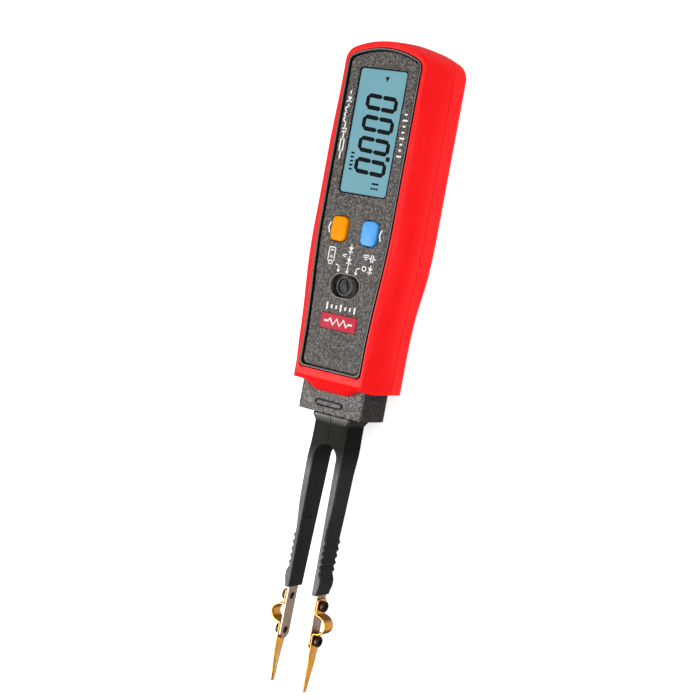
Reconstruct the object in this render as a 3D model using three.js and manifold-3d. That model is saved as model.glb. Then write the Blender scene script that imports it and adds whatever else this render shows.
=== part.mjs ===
// Hand-held component tester with tweezer probes.
// Millimetres. X runs along the tool towards its rounded head, Z comes out of the display panel,
// and the tool lies on its back. The origin is the centre of the bounding box's bottom face.

import * as THREE from 'three';
import { mergeVertices } from 'three/addons/utils/BufferGeometryUtils.js';
import Module from 'manifold-3d';

const wasm = await Module();
wasm.setup();

// ---------------------------------------------------------------- driving dimensions

const LENGTH = 181;
const WIDTH = 35;
const HEAD_X = LENGTH / 2;
const TIP_X = -LENGTH / 2;
const GAP = 0.3;

const SHELL_TAIL_X = -3.7;
const TONGUE_X = -6.6;
const TAIL_HALF_WIDTH = 15.9;
const PARTING_Z = 11.5;
const RIM_Z = 19.35;
const WALL = 1.8;
const BACK_STEP = 2;
const BACK_CORNER = 7;
const HEAD_ARCH = 35;
const ARCH_LOSS = 8.5;
const HEAD_CORNER = 4;

const PANEL_Z = 19;
const PANEL_THICKNESS = 1;
const PANEL_INSET = 5.5;
const PANEL_HEAD_X = 87.9;
const PANEL_TAIL_X = -0.9;
const PANEL_ARCH = 25;
const PANEL_CORNER = 3;
const PANEL_TAIL_CORNER = 1.4;
const TRIM = { inset: 0.4, width: 0.4, proud: 0.3 };
const LEDGE_Z = 16.6;
const LEDGE_UNDER_Z = 15.4;

const WINDOW = { x: 65, length: 34, width: 15.1, corner: 1.2 };
const BUTTON = { x: 38.1, y: 4.9, length: 6.7, width: 4.9, corner: 1.5, top: 20 };
const SWITCH = { x: 23, length: 6.2, width: 9.2, knob: 5.3 };
const BADGE = { x: 13, length: 4.2, width: 11.6, corner: 0.5 };

const BOARD = { x0: 17.8, x1: 84, halfWidth: 10.6, z0: 11.2, z1: 12.4 };
const CELL = { x: 43, radius: 10, z0: 2, z1: 5.2 };
const DOOR = { x0: 30.3, x1: 58, halfWidth: 10, thickness: 1.5, tongue: 1 };
const CASE_SCREWS = [[76, 13.2], [76, -13.2], [14, 12.2], [14, -12.2]];
const SCREW_HEAD_Z = 3.4;

const NECK = { x0: -12.4, x1: 10, halfWidth: 10.8, z0: 3.2, z1: 15.7, corner: 1.6, wall: 1.5 };

const ARM = { hingeX: -20.5, endX: -62.7, y: 4.45, thickness: 1.5, z0: 4.6, z1: 13.7, backRise: 2.4 };
const RIBS = { first: -46.8, pitch: 1.95, count: 5, height: 0.35 };
const BAR = { y: 4.66, z0: 8.1, z1: 12.3, thickness: 0.7, embedX: -56.5, endX: -78, flare: 0.25 };
const SHEET = { thickness: 0.45, startX: -63.6, bumpX: -70.75, bumpRadius: 2.65, bumpHeight: 3.5, tipY: 5.6 };
const TIP_SCREW = { xs: [-65.6, -75.6], shank: 0.6, head: 1.55, headHeight: 1.1 };

// ---------------------------------------------------------------- helpers

const smooth = (t) => {
  const c = Math.min(1, Math.max(0, t));
  return c * c * (3 - 2 * c);
};

const mix = (a, b, t) => a + (b - a) * t;

function toSolid(geometry) {
  geometry.deleteAttribute('normal');
  geometry.deleteAttribute('uv');
  const merged = mergeVertices(geometry, 1e-4);
  return new wasm.Manifold(new wasm.Mesh({
    numProp: 3,
    vertProperties: new Float32Array(merged.attributes.position.array),
    triVerts: new Uint32Array(merged.index.array),
  }));
}

function toGeometry(solid) {
  const data = solid.getMesh();
  const geometry = new THREE.BufferGeometry();
  geometry.setAttribute('position', new THREE.BufferAttribute(new Float32Array(data.vertProperties), 3));
  geometry.setIndex(new THREE.BufferAttribute(new Uint32Array(data.triVerts), 1));
  geometry.computeVertexNormals();
  return geometry;
}

function box(x0, x1, y0, y1, z0, z1) {
  const geometry = new THREE.BoxGeometry(x1 - x0, y1 - y0, z1 - z0);
  geometry.translate((x0 + x1) / 2, (y0 + y1) / 2, (z0 + z1) / 2);
  return toSolid(geometry);
}

// A shape in the XY plane, extruded along Z.
function prism(shape, z0, z1, curveSegments = 5) {
  const geometry = new THREE.ExtrudeGeometry(shape, { depth: z1 - z0, bevelEnabled: false, curveSegments });
  geometry.translate(0, 0, z0);
  return toSolid(geometry);
}

// A shape drawn as (y, z), extruded along X.
function prismAlongX(shape, x0, x1, curveSegments = 4) {
  const geometry = new THREE.ExtrudeGeometry(shape, { depth: x1 - x0, bevelEnabled: false, curveSegments });
  const cycle = new THREE.Matrix4().set(0, 0, 1, x0, 1, 0, 0, 0, 0, 1, 0, 0, 0, 0, 0, 1);
  geometry.applyMatrix4(cycle);
  return toSolid(geometry);
}

// A shape drawn as (x, z), extruded along Y.
function prismAlongY(shape, y0, y1) {
  const geometry = new THREE.ExtrudeGeometry(shape, { depth: y1 - y0, bevelEnabled: false });
  geometry.rotateX(Math.PI / 2);
  geometry.translate(0, y1, 0);
  return toSolid(geometry);
}

function cylinderZ(x, y, radius, z0, z1, segments = 24) {
  const geometry = new THREE.CylinderGeometry(radius, radius, z1 - z0, segments);
  geometry.rotateX(Math.PI / 2);
  geometry.translate(x, y, (z0 + z1) / 2);
  return toSolid(geometry);
}

function cylinderY(x, z, radius, y0, y1, segments = 20) {
  const geometry = new THREE.CylinderGeometry(radius, radius, Math.abs(y1 - y0), segments);
  geometry.translate(x, (y0 + y1) / 2, z);
  return toSolid(geometry);
}

const polygon = (points) => new THREE.Shape(points.map(([x, y]) => new THREE.Vector2(x, y)));

function roundedRect(x, y, length, width, radius) {
  const shape = new THREE.Shape();
  const right = x + length / 2 - radius;
  const left = x - length / 2 + radius;
  const top = y + width / 2 - radius;
  const bottom = y - width / 2 + radius;
  shape.absarc(right, bottom, radius, -Math.PI / 2, 0);
  shape.absarc(right, top, radius, 0, Math.PI / 2);
  shape.absarc(left, top, radius, Math.PI / 2, Math.PI);
  shape.absarc(left, bottom, radius, Math.PI, 1.5 * Math.PI);
  return shape;
}

// A closed strip of constant thickness along an open path of points.
function strip(path, thickness) {
  const sides = [[], []];
  path.forEach((point, i) => {
    const before = path[Math.max(0, i - 1)];
    const after = path[Math.min(path.length - 1, i + 1)];
    const incoming = new THREE.Vector2(...point).sub(new THREE.Vector2(...before)).normalize();
    const outgoing = new THREE.Vector2(...after).sub(new THREE.Vector2(...point)).normalize();
    const normal = new THREE.Vector2(-incoming.y - outgoing.y, incoming.x + outgoing.x).normalize();
    const facing = i === 0 ? outgoing : incoming;
    const reach = thickness / 2 / Math.abs(normal.x * -facing.y + normal.y * facing.x);
    sides[0].push([point[0] + normal.x * reach, point[1] + normal.y * reach]);
    sides[1].unshift([point[0] - normal.x * reach, point[1] - normal.y * reach]);
  });
  return polygon([...sides[0], ...sides[1]]);
}

// An ExtrudeGeometry with one step per station, whose outline is then moved to that station's outline.
function loft(stations) {
  const base = stations[0].outline;
  const steps = stations.length - 1;
  const geometry = new THREE.ExtrudeGeometry(polygon(base), { depth: steps, steps, bevelEnabled: false });
  const key = (x, y) => `${x.toFixed(3)},${y.toFixed(3)}`;
  const indexOf = new Map(base.map(([x, y], i) => [key(x, y), i]));
  const position = geometry.attributes.position;
  for (let v = 0; v < position.count; v += 1) {
    const station = stations[Math.round(position.getZ(v))];
    const [x, y] = station.outline[indexOf.get(key(position.getX(v), position.getY(v)))];
    position.setXYZ(v, x, y, station.height(x));
  }
  return toSolid(geometry);
}

const unite = (first, ...rest) => rest.reduce((sum, solid) => sum.add(solid), first);
const cut = (first, ...rest) => rest.reduce((left, solid) => left.subtract(solid), first);

const tester = new THREE.Group();

function part(name, solid, color, roughness, metalness = 0) {
  const material = new THREE.MeshStandardMaterial({ color, roughness, metalness });
  const mesh = new THREE.Mesh(toGeometry(solid), material);
  mesh.name = name;
  tester.add(mesh);
}

// ---------------------------------------------------------------- outlines of the housing

// Half the housing's width at the parting line: slim at the waist, full width from the buttons on.
const halfWidth = (x) => mix(TAIL_HALF_WIDTH, WIDTH / 2, smooth((x - 6) / 34));

// The sides and the arched head, from the tail end of the -Y side round to that of the +Y side.
function sidesAndHead({ inset, headX, arch, corner, tailX }) {
  const sideSteps = 12;
  const arcSteps = 6;
  const archX = headX - arch;
  const cornerY = WIDTH / 2 - inset - corner;
  const cornerX = archX + Math.sqrt((arch - corner) ** 2 - cornerY ** 2);
  const meet = Math.atan2(cornerY, cornerX - archX);
  const points = [];
  for (let i = 0; i < sideSteps; i += 1) {
    const x = mix(tailX, cornerX, i / sideSteps);
    points.push([x, inset - halfWidth(x)]);
  }
  const arc = (x, y, radius, from, to, count) => {
    for (let i = 0; i < count; i += 1) {
      const angle = mix(from, to, i / count);
      points.push([x + radius * Math.cos(angle), y + radius * Math.sin(angle)]);
    }
  };
  arc(cornerX, -cornerY, corner, -Math.PI / 2, -meet, arcSteps);
  arc(archX, 0, arch, -meet, meet, 2 * arcSteps);
  arc(cornerX, cornerY, corner, meet, Math.PI / 2, arcSteps);
  for (let i = sideSteps; i >= 0; i -= 1) {
    const x = mix(tailX, cornerX, i / sideSteps);
    points.push([x, halfWidth(x) - inset]);
  }
  return points;
}

// The housing's outline, with a tongue at the middle of its tail.
function housingOutline({ inset, headInset, archLoss, shoulderX, tongueX }) {
  const points = sidesAndHead({
    inset, headX: HEAD_X - headInset, arch: HEAD_ARCH - archLoss, corner: HEAD_CORNER, tailX: shoulderX,
  });
  const tongueHalfWidth = Math.min(10, halfWidth(shoulderX) - inset - 0.5);
  const steps = 14;
  for (let i = 0; i <= steps; i += 1) {
    const y = mix(tongueHalfWidth, -tongueHalfWidth, i / steps);
    const reach = smooth((tongueHalfWidth - Math.abs(y)) / 5.5);
    points.push([mix(shoulderX, tongueX, reach), y]);
  }
  return points;
}

function panelOutline(offset) {
  const tailX = PANEL_TAIL_X + offset;
  const corner = PANEL_TAIL_CORNER;
  const points = sidesAndHead({
    inset: PANEL_INSET + offset, headX: PANEL_HEAD_X - offset, arch: PANEL_ARCH - offset,
    corner: Math.max(1.2, PANEL_CORNER - offset), tailX: tailX + corner,
  });
  const steps = 4;
  for (const side of [1, -1]) {
    const y = side * (halfWidth(tailX) - PANEL_INSET - offset - corner);
    for (let i = 0; i < steps; i += 1) {
      const turn = (i + 0.5) / steps;
      const angle = side > 0 ? Math.PI / 2 * (1 + turn) : Math.PI * (1 + turn / 2);
      points.push([tailX + corner + corner * Math.cos(angle), y + corner * Math.sin(angle)]);
    }
  }
  return polygon(points);
}

// How far the back face is raised: the waist is thinner than the head.
const backRise = (x) => BACK_STEP * (1 - smooth((x - 16) / 14));

const flat = (z) => () => z;
const stepped = (z) => (x) => z + backRise(x) * (1 - z / PARTING_Z);

// ---------------------------------------------------------------- housing

function neckSection(grow) {
  const height = NECK.z1 - NECK.z0;
  const width = 2 * NECK.halfWidth;
  return roundedRect(0, (NECK.z0 + NECK.z1) / 2, width + 2 * grow, height + 2 * grow, NECK.corner + grow);
}

const neckOpening = () => prismAlongX(neckSection(GAP), NECK.x0 - 5, NECK.x1 + GAP);

function frontCover() {
  const stations = [
    [PARTING_Z + GAP / 2, 0, 0, SHELL_TAIL_X, TONGUE_X],
    [13.5, 1, 0.2, SHELL_TAIL_X, TONGUE_X],
    [15.5, 2.25, 0.45, SHELL_TAIL_X, TONGUE_X],
    [16.6, 3, 0.6, SHELL_TAIL_X, -6.3],
    [17.7, 3.75, 0.75, -3.6, -5.3],
    [18.5, 4.3, 0.9, -3.4, -4.1],
    [19.1, 4.6, 1.05, -3, -3.3],
    [RIM_Z, 4.9, 1.2, -2.4, -2.6],
  ].map(([z, inset, headInset, shoulderX, tongueX]) => ({
    height: flat(z),
    outline: housingOutline({ inset, headInset, archLoss: ARCH_LOSS * headInset, shoulderX, tongueX }),
  }));
  const slopedWall = WALL + 0.3;
  const hollow = [
    [PARTING_Z - 1, 0, 0],
    [13.5, 1, 0.2],
    [LEDGE_UNDER_Z, 2.2, 0.45],
  ].map(([z, inset, headInset]) => ({
    height: flat(z),
    outline: housingOutline({
      inset: inset + slopedWall, headInset: headInset + WALL, archLoss: ARCH_LOSS * headInset + WALL,
      shoulderX: SHELL_TAIL_X + WALL, tongueX: SHELL_TAIL_X + WALL,
    }),
  }));
  const outer = loft(stations);
  const shell = cut(
    outer,
    loft(hollow),
    prism(panelOutline(TRIM.inset - GAP), LEDGE_Z, RIM_Z + 5),
    prism(panelOutline(1.6), PARTING_Z - 5, RIM_Z + 5),
    box(TONGUE_X - 5, SHELL_TAIL_X, -WIDTH, WIDTH, 0, NECK.z1 + GAP),
    neckOpening(),
  );
  const bosses = CASE_SCREWS.map(
    ([x, y]) => cylinderZ(x, y, 2.2, PARTING_Z + 0.45, LEDGE_UNDER_Z).intersect(outer),
  );
  const holes = CASE_SCREWS.map(([x, y]) => cylinderZ(x, y, 1.2, PARTING_Z - 1, 14.2, 16));
  return cut(unite(shell, ...bosses), ...holes);
}

// Stations up a rounded back corner, from the flat back face to the parting line.
function backStations(corner, wall, tailX, topZ) {
  const steps = 6;
  const stations = [];
  for (let i = 0; i <= steps; i += 1) {
    const angle = i / steps * Math.PI / 2;
    const z = wall + corner * (1 - Math.cos(angle));
    const inset = wall + 0.3 * (1 - i / steps) + corner * (1 - Math.sin(angle));
    stations.push([z, inset]);
  }
  stations.push([topZ, wall]);
  return stations.map(([z, inset]) => ({
    height: stepped(z),
    outline: housingOutline({
      inset, headInset: Math.min(inset, 5), archLoss: inset, shoulderX: tailX, tongueX: tailX,
    }),
  }));
}

function rearCover() {
  const outer = loft(backStations(BACK_CORNER, 0, SHELL_TAIL_X, PARTING_Z - GAP / 2));
  const inner = loft(backStations(BACK_CORNER - WALL, WALL, SHELL_TAIL_X + WALL, PARTING_Z + 1));
  const tray = box(CELL.x - 14.5, CELL.x + 18, -13.6, 13.6, 1.85, 3.6);
  const cellWall = cylinderZ(CELL.x, 0, CELL.radius + 1.6, 1.9, CELL.z1 + 0.6, 40);
  const posts = CASE_SCREWS.map(([x, y]) => cylinderZ(x, y, 3, 3.2, BOARD.z0 - GAP));
  const channelEnd = DOOR.x1 + GAP;
  const channelX = -SHELL_TAIL_X + 9;
  const channel = box(channelX, channelEnd, -DOOR.halfWidth - GAP, DOOR.halfWidth + GAP, -5, 1.9);
  const grooveHalf = DOOR.halfWidth + DOOR.tongue + GAP;
  const groove = box(channelX, channelEnd, -grooveHalf, grooveHalf, 0.6, 1.9);
  const cellBore = cylinderZ(CELL.x, 0, CELL.radius + GAP, -5, CELL.z1 + 5, 40);
  const recesses = CASE_SCREWS.map(([x, y]) => cylinderZ(x, y, 2.1, -5, SCREW_HEAD_Z + 1.6));
  const holes = CASE_SCREWS.map(([x, y]) => cylinderZ(x, y, 1.2, 0, PARTING_Z + 5, 16));
  const trimmedPosts = posts.map((post) => post.intersect(outer));
  const body = unite(cut(outer, inner), tray.intersect(outer), cellWall, ...trimmedPosts);
  return cut(body, channel, groove, cellBore, neckOpening(), ...recesses, ...holes);
}

function caseScrew(x, y) {
  const headTop = SCREW_HEAD_Z + 1.3;
  const slot = box(x - 1.2, x + 1.2, y - 0.2, y + 0.2, SCREW_HEAD_Z - 1, SCREW_HEAD_Z + 0.5);
  const head = cylinderZ(x, y, 1.7, SCREW_HEAD_Z, headTop);
  return cut(unite(head, cylinderZ(x, y, 0.9, headTop - 0.2, 13.8, 16)), slot);
}

function batteryCover() {
  const { x0, x1, halfWidth: half, thickness, tongue } = DOOR;
  const plate = box(x0, x1, -half, half, 0, thickness);
  const tongues = box(x0 + 1, x1 - 1, -half - tongue, half + tongue, 0.9, thickness);
  const grips = [0, 1, 2, 3].map((i) => box(x0 + 3 + 2 * i, x0 + 4 + 2 * i, -6, 6, -1, 0.4));
  return cut(unite(plate, tongues), ...grips);
}

part('front_cover', frontCover(), 0xe8161c, 0.35);
part('rear_cover', rearCover(), 0xe8161c, 0.35);
CASE_SCREWS.forEach(([x, y], i) => part(`case_screw_${i + 1}`, caseScrew(x, y), 0x3a3a3c, 0.4, 0.9));
part('battery_cover', batteryCover(), 0xd9141a, 0.4);

// ---------------------------------------------------------------- panel and display

const windowHole = (grow) => (
  roundedRect(WINDOW.x, 0, WINDOW.length + 2 * grow, WINDOW.width + 2 * grow, WINDOW.corner)
);
const switchHole = () => roundedRect(SWITCH.x, 0, SWITCH.length, SWITCH.width, SWITCH.length / 2 - 0.01);

function buttonOutline(side, grow) {
  const { x, y, length, width, corner } = BUTTON;
  return roundedRect(x, side * y, length + 2 * grow, width + 2 * grow, corner + grow / 2);
}

function frontPanel() {
  const pocket = roundedRect(BADGE.x, 0, BADGE.length + 2 * GAP, BADGE.width + 2 * GAP, BADGE.corner);
  return cut(
    prism(panelOutline(TRIM.inset + TRIM.width + GAP), PANEL_Z - PANEL_THICKNESS, PANEL_Z),
    prism(windowHole(0), PANEL_Z - 5, PANEL_Z + 5),
    prism(buttonOutline(1, GAP), PANEL_Z - 5, PANEL_Z + 5),
    prism(buttonOutline(-1, GAP), PANEL_Z - 5, PANEL_Z + 5),
    prism(switchHole(), PANEL_Z - 5, PANEL_Z + 5),
    prism(pocket, PANEL_Z - 0.6, PANEL_Z + 5),
  );
}

function panelTrim() {
  const rim = prism(panelOutline(TRIM.inset), LEDGE_Z + GAP, RIM_Z + TRIM.proud);
  const footTop = PANEL_Z - PANEL_THICKNESS - GAP;
  const opening = prism(panelOutline(TRIM.inset + TRIM.width), footTop, RIM_Z + 5);
  return cut(rim, opening, prism(panelOutline(2.5), 0, RIM_Z + 5));
}

const displayWindow = () => prism(windowHole(-GAP), PANEL_Z - PANEL_THICKNESS, PANEL_Z - 0.15);

const LCD = { length: 35.6, width: 18, z0: 16.3, z1: 17.7 };
const ZEBRA_Y = 8;

function displayHolder() {
  const { x } = WINDOW;
  const outer = roundedRect(x, 0, LCD.length + 2, LCD.width + 2.2, 0.8);
  const seat = roundedRect(x, 0, LCD.length + 2 * GAP, LCD.width + 2 * GAP, 0.3);
  const slots = [1, -1].map(
    (side) => box(x - 17.4, x + 17.4, side * ZEBRA_Y - 0.9, side * ZEBRA_Y + 0.9, 10, 20),
  );
  return cut(prism(outer, BOARD.z1 + GAP, LCD.z0 + 0.2), prism(seat, LCD.z0 - GAP, 20), ...slots);
}

const displayGlass = () => prism(roundedRect(WINDOW.x, 0, LCD.length, LCD.width, 0.3), LCD.z0, LCD.z1);

const zebraStrip = (side) => box(
  WINDOW.x - 17, WINDOW.x + 17, side * ZEBRA_Y - 0.6, side * ZEBRA_Y + 0.6, BOARD.z1 + 0.2, LCD.z0 - 0.2,
);

function badge() {
  const outline = roundedRect(BADGE.x, 0, BADGE.length, BADGE.width, BADGE.corner);
  return prism(outline, PANEL_Z - 0.3, PANEL_Z + 0.15);
}

part('front_panel', frontPanel(), 0x4c4946, 0.65);
part('panel_trim', panelTrim(), 0x2b2b2c, 0.45);
part('display_window', displayWindow(), 0x9fc4cc, 0.1);
part('display_glass', displayGlass(), 0x7fb0ba, 0.3);
part('display_holder', displayHolder(), 0xd8dcd8, 0.5);
part('zebra_strip_left', zebraStrip(1), 0xd87a9a, 0.7);
part('zebra_strip_right', zebraStrip(-1), 0xd87a9a, 0.7);
part('badge_plate', badge(), 0xe0304c, 0.4);

// ---------------------------------------------------------------- buttons and slide switch

function button(side) {
  const bevel = 0.7;
  const { corner, length, width, top } = BUTTON;
  const shape = roundedRect(0, 0, length - 2 * bevel, width - 2 * bevel, corner - 0.5);
  const depth = top - LEDGE_Z - GAP - 2 * bevel;
  const crowned = new THREE.ExtrudeGeometry(shape, {
    depth, bevelEnabled: true, bevelThickness: bevel, bevelSize: bevel, bevelSegments: 4, curveSegments: 5,
  });
  crowned.translate(BUTTON.x, side * BUTTON.y, top - bevel - depth);
  const flange = prism(buttonOutline(side, 0.8), LEDGE_Z + GAP, LEDGE_Z + 0.8);
  const stem = cylinderZ(BUTTON.x, side * BUTTON.y, 1.4, 16.2, LEDGE_Z + 1);
  return unite(toSolid(crowned), flange, stem);
}

function tactSwitch(side) {
  const { x } = BUTTON;
  const y = side * BUTTON.y;
  return unite(
    box(x - 3, x + 3, y - 3, y + 3, BOARD.z1 + GAP, 14.6),
    cylinderZ(x, y, 1.6, 14.5, 15.2),
  );
}

function slideSwitch() {
  const { x } = SWITCH;
  return cut(
    box(x - 3.4, x + 3.4, -6.2, 6.2, BOARD.z1 + GAP, 15.6),
    box(x - 1.5, x + 1.5, -3.2, 3.2, 13.6, 20),
  );
}

function switchKnob() {
  const { x, knob } = SWITCH;
  const top = PANEL_Z + 0.3;
  const radius = knob / 2;
  const profile = [[0, LEDGE_Z + 0.5], [radius, LEDGE_Z + 0.5], [radius, top - 0.25], [radius - 0.25, top],
    [radius - 0.7, top], [radius - 0.9, top - 0.5], [0, top - 0.5]];
  const cap = new THREE.LatheGeometry(profile.map(([r, z]) => new THREE.Vector2(r, z)), 28);
  cap.rotateX(Math.PI / 2);
  cap.translate(x, 0, 0);
  const ridge = prism(roundedRect(x, 0, 3.2, 0.9, 0.4), PANEL_Z - 0.6, top);
  const shutter = prism(roundedRect(x, 0, 7.2, 12.2, 1), LEDGE_Z + GAP, LEDGE_Z + 0.8);
  const lever = box(x - 1.1, x + 1.1, -1.4, 1.4, 14, LEDGE_Z + 0.5);
  return unite(toSolid(cap), ridge, shutter, lever);
}

for (const [name, side, color] of [['orange', 1, 0xff9a10], ['blue', -1, 0x4fa4f4]]) {
  part(`${name}_button`, button(side), color, 0.4);
  part(`tact_switch_${name}`, tactSwitch(side), 0x1c1c1e, 0.5);
}
part('slide_switch', slideSwitch(), 0x9a9c9e, 0.4, 0.8);
part('switch_knob', switchKnob(), 0x202022, 0.5);

// ---------------------------------------------------------------- board, cell and small electronics

function mainBoard() {
  const length = BOARD.x1 - BOARD.x0;
  return prism(roundedRect((BOARD.x0 + BOARD.x1) / 2, 0, length, 2 * BOARD.halfWidth, 1), BOARD.z0, BOARD.z1);
}

const underBoard = BOARD.z0 - GAP;
const negativeContact = () => unite(
  box(CELL.x - 5, CELL.x + 5, -1.5, 1.5, CELL.z1 + GAP, CELL.z1 + 0.7),
  box(CELL.x + 4.4, CELL.x + 5, -1.5, 1.5, CELL.z1 + GAP, underBoard),
);
const positiveContact = () => unite(
  box(CELL.x + 13, CELL.x + 13.6, -2, 2, 3.9, underBoard),
  box(CELL.x + 13, CELL.x + 16, -2, 2, underBoard - 0.6, underBoard),
);

part('main_board', mainBoard(), 0x1f6b3a, 0.5);
part('measuring_chip', box(22, 32, -5, 5, 9.3, underBoard), 0x18181a, 0.5);
part('signal_chip', box(74, 80, -7, -2.5, 9.6, underBoard), 0x18181a, 0.5);
part('crystal_can', prism(roundedRect(78, 4, 9, 3.6, 1.7), 7.6, underBoard), 0xb8babc, 0.25, 0.9);
part('buzzer', cylinderZ(67, 0, 5.5, 7.2, underBoard, 32), 0x141416, 0.5);
part('coin_cell', cylinderZ(CELL.x, 0, CELL.radius, CELL.z0, CELL.z1, 40), 0xc4c6c8, 0.25, 0.95);
part('cell_contact_negative', negativeContact(), 0xb9a36a, 0.3, 0.9);
part('cell_contact_positive', positiveContact(), 0xb9a36a, 0.3, 0.9);
for (const [name, side] of [['left', 1], ['right', -1]]) {
  const strip = box(GAP, 20, side * 2.6 - 1, side * 2.6 + 1, 10.4, underBoard);
  part(`input_strip_${name}`, strip, 0xb9a36a, 0.3, 0.9);
}

// ---------------------------------------------------------------- neck and the roots of the arms

function neckHousing() {
  const { x0, x1, wall, halfWidth: half } = NECK;
  const inner = roundedRect(0, (NECK.z0 + NECK.z1) / 2, 2 * (half - wall), NECK.z1 - NECK.z0 - 2 * wall, 0.6);
  const flange = box(SHELL_TAIL_X + WALL + GAP, 0, -12.4, 12.4, 6, 12.5);
  const ridge = prism(roundedRect(-9.6, 0, 1.7, 8.8, 0.8), NECK.z1 - 0.5, NECK.z1 + 0.25);
  const doorway = box(x0 - 1, x0 + 3, -4.6, 4.6, 5.7, 13.2);
  const shell = unite(prismAlongX(neckSection(0), x0, x1), flange, ridge);
  return cut(shell, prismAlongX(inner, x0 + wall, x1 + 1), doorway);
}

// The block inside the neck that clamps the two root tangs together.
const tangClamp = () => cut(box(-9, -2, -7.2, 7.2, 5, 13.9), box(-10, -1, -4.5, 4.5, 5.8, 13.1));

// Both halves of the fork mirror each other across the seam at y = 0.
const acrossSeam = (side, x0, x1, y0, y1, z0, z1) => {
  const ys = [side * y0, side * y1].sort((a, b) => a - b);
  return box(x0, x1, ...ys, z0, z1);
};

function armRoot(side) {
  const seam = 0.1;
  const x1 = NECK.x0 - GAP;
  const collar = [[x1, seam], [x1, 6.3], [x1 - 0.6, 6.3], [x1 - 2.6, 5.3], [x1 - 2.6, seam]]
    .map(([x, y]) => [x, side * y]);
  const solid = unite(
    acrossSeam(side, ARM.hingeX + 0.2, x1, seam, 5.3, ARM.z0, ARM.z1),
    prism(polygon(collar), ARM.z0 - 0.4, ARM.z1 + 0.4),
    acrossSeam(side, x1 - 1, -0.2, seam, 4.2, 6, 12.9),
  );
  return cut(
    solid,
    cylinderZ(ARM.hingeX, side * ARM.y, ARM.thickness / 2 + GAP, 0, 20),
    cylinderZ(ARM.hingeX - 3, 0, 3.4, 0, 20, 32),
  );
}

part('neck_housing', neckHousing(), 0x55504d, 0.6);
part('tang_clamp', tangClamp(), 0x2a2a2c, 0.6);

// ---------------------------------------------------------------- arms, bars and contact tips

const armInnerY = (x) => ARM.y - ARM.thickness / 2 + 0.5 * smooth((-22 - x) / 40);

function armOuterY(x) {
  const last = RIBS.first - RIBS.pitch * RIBS.count;
  const swell = 0.9 * smooth((-56 - x) / 2.6) - 0.55 * smooth((-59.5 - x) / 3.2);
  const onRibs = x < RIBS.first && x > last;
  const rib = onRibs ? RIBS.height * Math.sin((RIBS.first - x) / RIBS.pitch * Math.PI) ** 2 : 0;
  return ARM.y + ARM.thickness / 2 + rib + swell;
}

function arm(side) {
  const xs = [ARM.hingeX, -30, -38, -44, RIBS.first];
  const ribSteps = 6 * RIBS.count;
  for (let i = 1; i <= ribSteps; i += 1) xs.push(RIBS.first - i * RIBS.pitch / 6);
  xs.push(-57.2, -58, -58.8, -59.8, -61, -62, ARM.endX);
  const outer = xs.map((x) => [x, side * armOuterY(x)]);
  const inner = [ARM.hingeX, -26, -34, -42, -50, -56, ARM.endX].map((x) => [x, side * armInnerY(x)]);
  const blade = prism(polygon([...outer, ...inner.reverse()]), ARM.z0, ARM.z1);
  const knuckle = cylinderZ(ARM.hingeX, side * ARM.y, ARM.thickness / 2, ARM.z0, ARM.z1, 20);
  const belly = prismAlongY(polygon([
    [ARM.hingeX, ARM.z0], [ARM.endX - 1, ARM.z0 + ARM.backRise], [ARM.endX - 1, 0], [ARM.hingeX, 0],
  ]), -WIDTH / 2, WIDTH / 2);
  const innerY = barInnerY(-60);
  const ys = [side * (innerY - 0.12), side * (innerY + BAR.thickness + 0.12)].sort((a, b) => a - b);
  const socket = box(ARM.endX - 1, BAR.embedX + GAP, ...ys, BAR.z0 - GAP, BAR.z1 + GAP);
  return cut(unite(blade, knuckle), belly, socket);
}

const barInnerY = (x) => BAR.y + BAR.flare * Math.max(0, (-63 - x) / 15);
const sheetY = (x) => barInnerY(x) + BAR.thickness + 0.12 + SHEET.thickness / 2;

function contactBar(side) {
  const { embedX, endX, z0, z1, thickness } = BAR;
  const inner = [embedX, -63, endX].map((x) => [x, side * barInnerY(x)]);
  const outer = [endX, -63, embedX].map((x) => [x, side * (barInnerY(x) + thickness)]);
  const chamfer = 1.1;
  const face = prismAlongY(polygon([
    [embedX, z0], [endX + chamfer, z0], [endX, z0 + chamfer],
    [endX, z1 - chamfer], [endX + chamfer, z1], [embedX, z1],
  ]), -WIDTH / 2, WIDTH / 2);
  const holes = TIP_SCREW.xs.map((x) => cylinderY(x, (z0 + z1) / 2, 0.85, -WIDTH / 2, WIDTH / 2));
  return cut(prism(polygon([...inner, ...outer]), z0, z1).intersect(face), ...holes);
}

// A sheet-metal contact: flat under the first screw, a half-round spring bump, then a long taper to the tip.
function contactTip(side) {
  const { startX, bumpX, bumpRadius, bumpHeight, tipY, thickness } = SHEET;
  const path = [[startX, sheetY(startX)]];
  const bumpSteps = 14;
  for (let i = 0; i <= bumpSteps; i += 1) {
    const angle = i / bumpSteps * Math.PI;
    const x = bumpX + bumpRadius * Math.cos(angle);
    path.push([x, sheetY(x) + bumpHeight * Math.sin(angle)]);
  }
  path.push([-78.4, sheetY(-78)], [TIP_X, tipY]);
  const ribbon = prism(strip(path.map(([x, y]) => [x, side * y]), thickness), BAR.z0, BAR.z1);
  const { z0, z1 } = BAR;
  const face = prismAlongY(polygon([
    [startX + 1, z0], [-78.6, z0 + 0.4], [TIP_X, 10.2], [TIP_X, 11.6], [-78.6, z1], [startX + 1, z1],
  ]), -WIDTH / 2, WIDTH / 2);
  const holes = TIP_SCREW.xs.map((x) => cylinderY(x, (z0 + z1) / 2, 0.9, -WIDTH / 2, WIDTH / 2));
  return cut(ribbon.intersect(face), ...holes);
}

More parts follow.
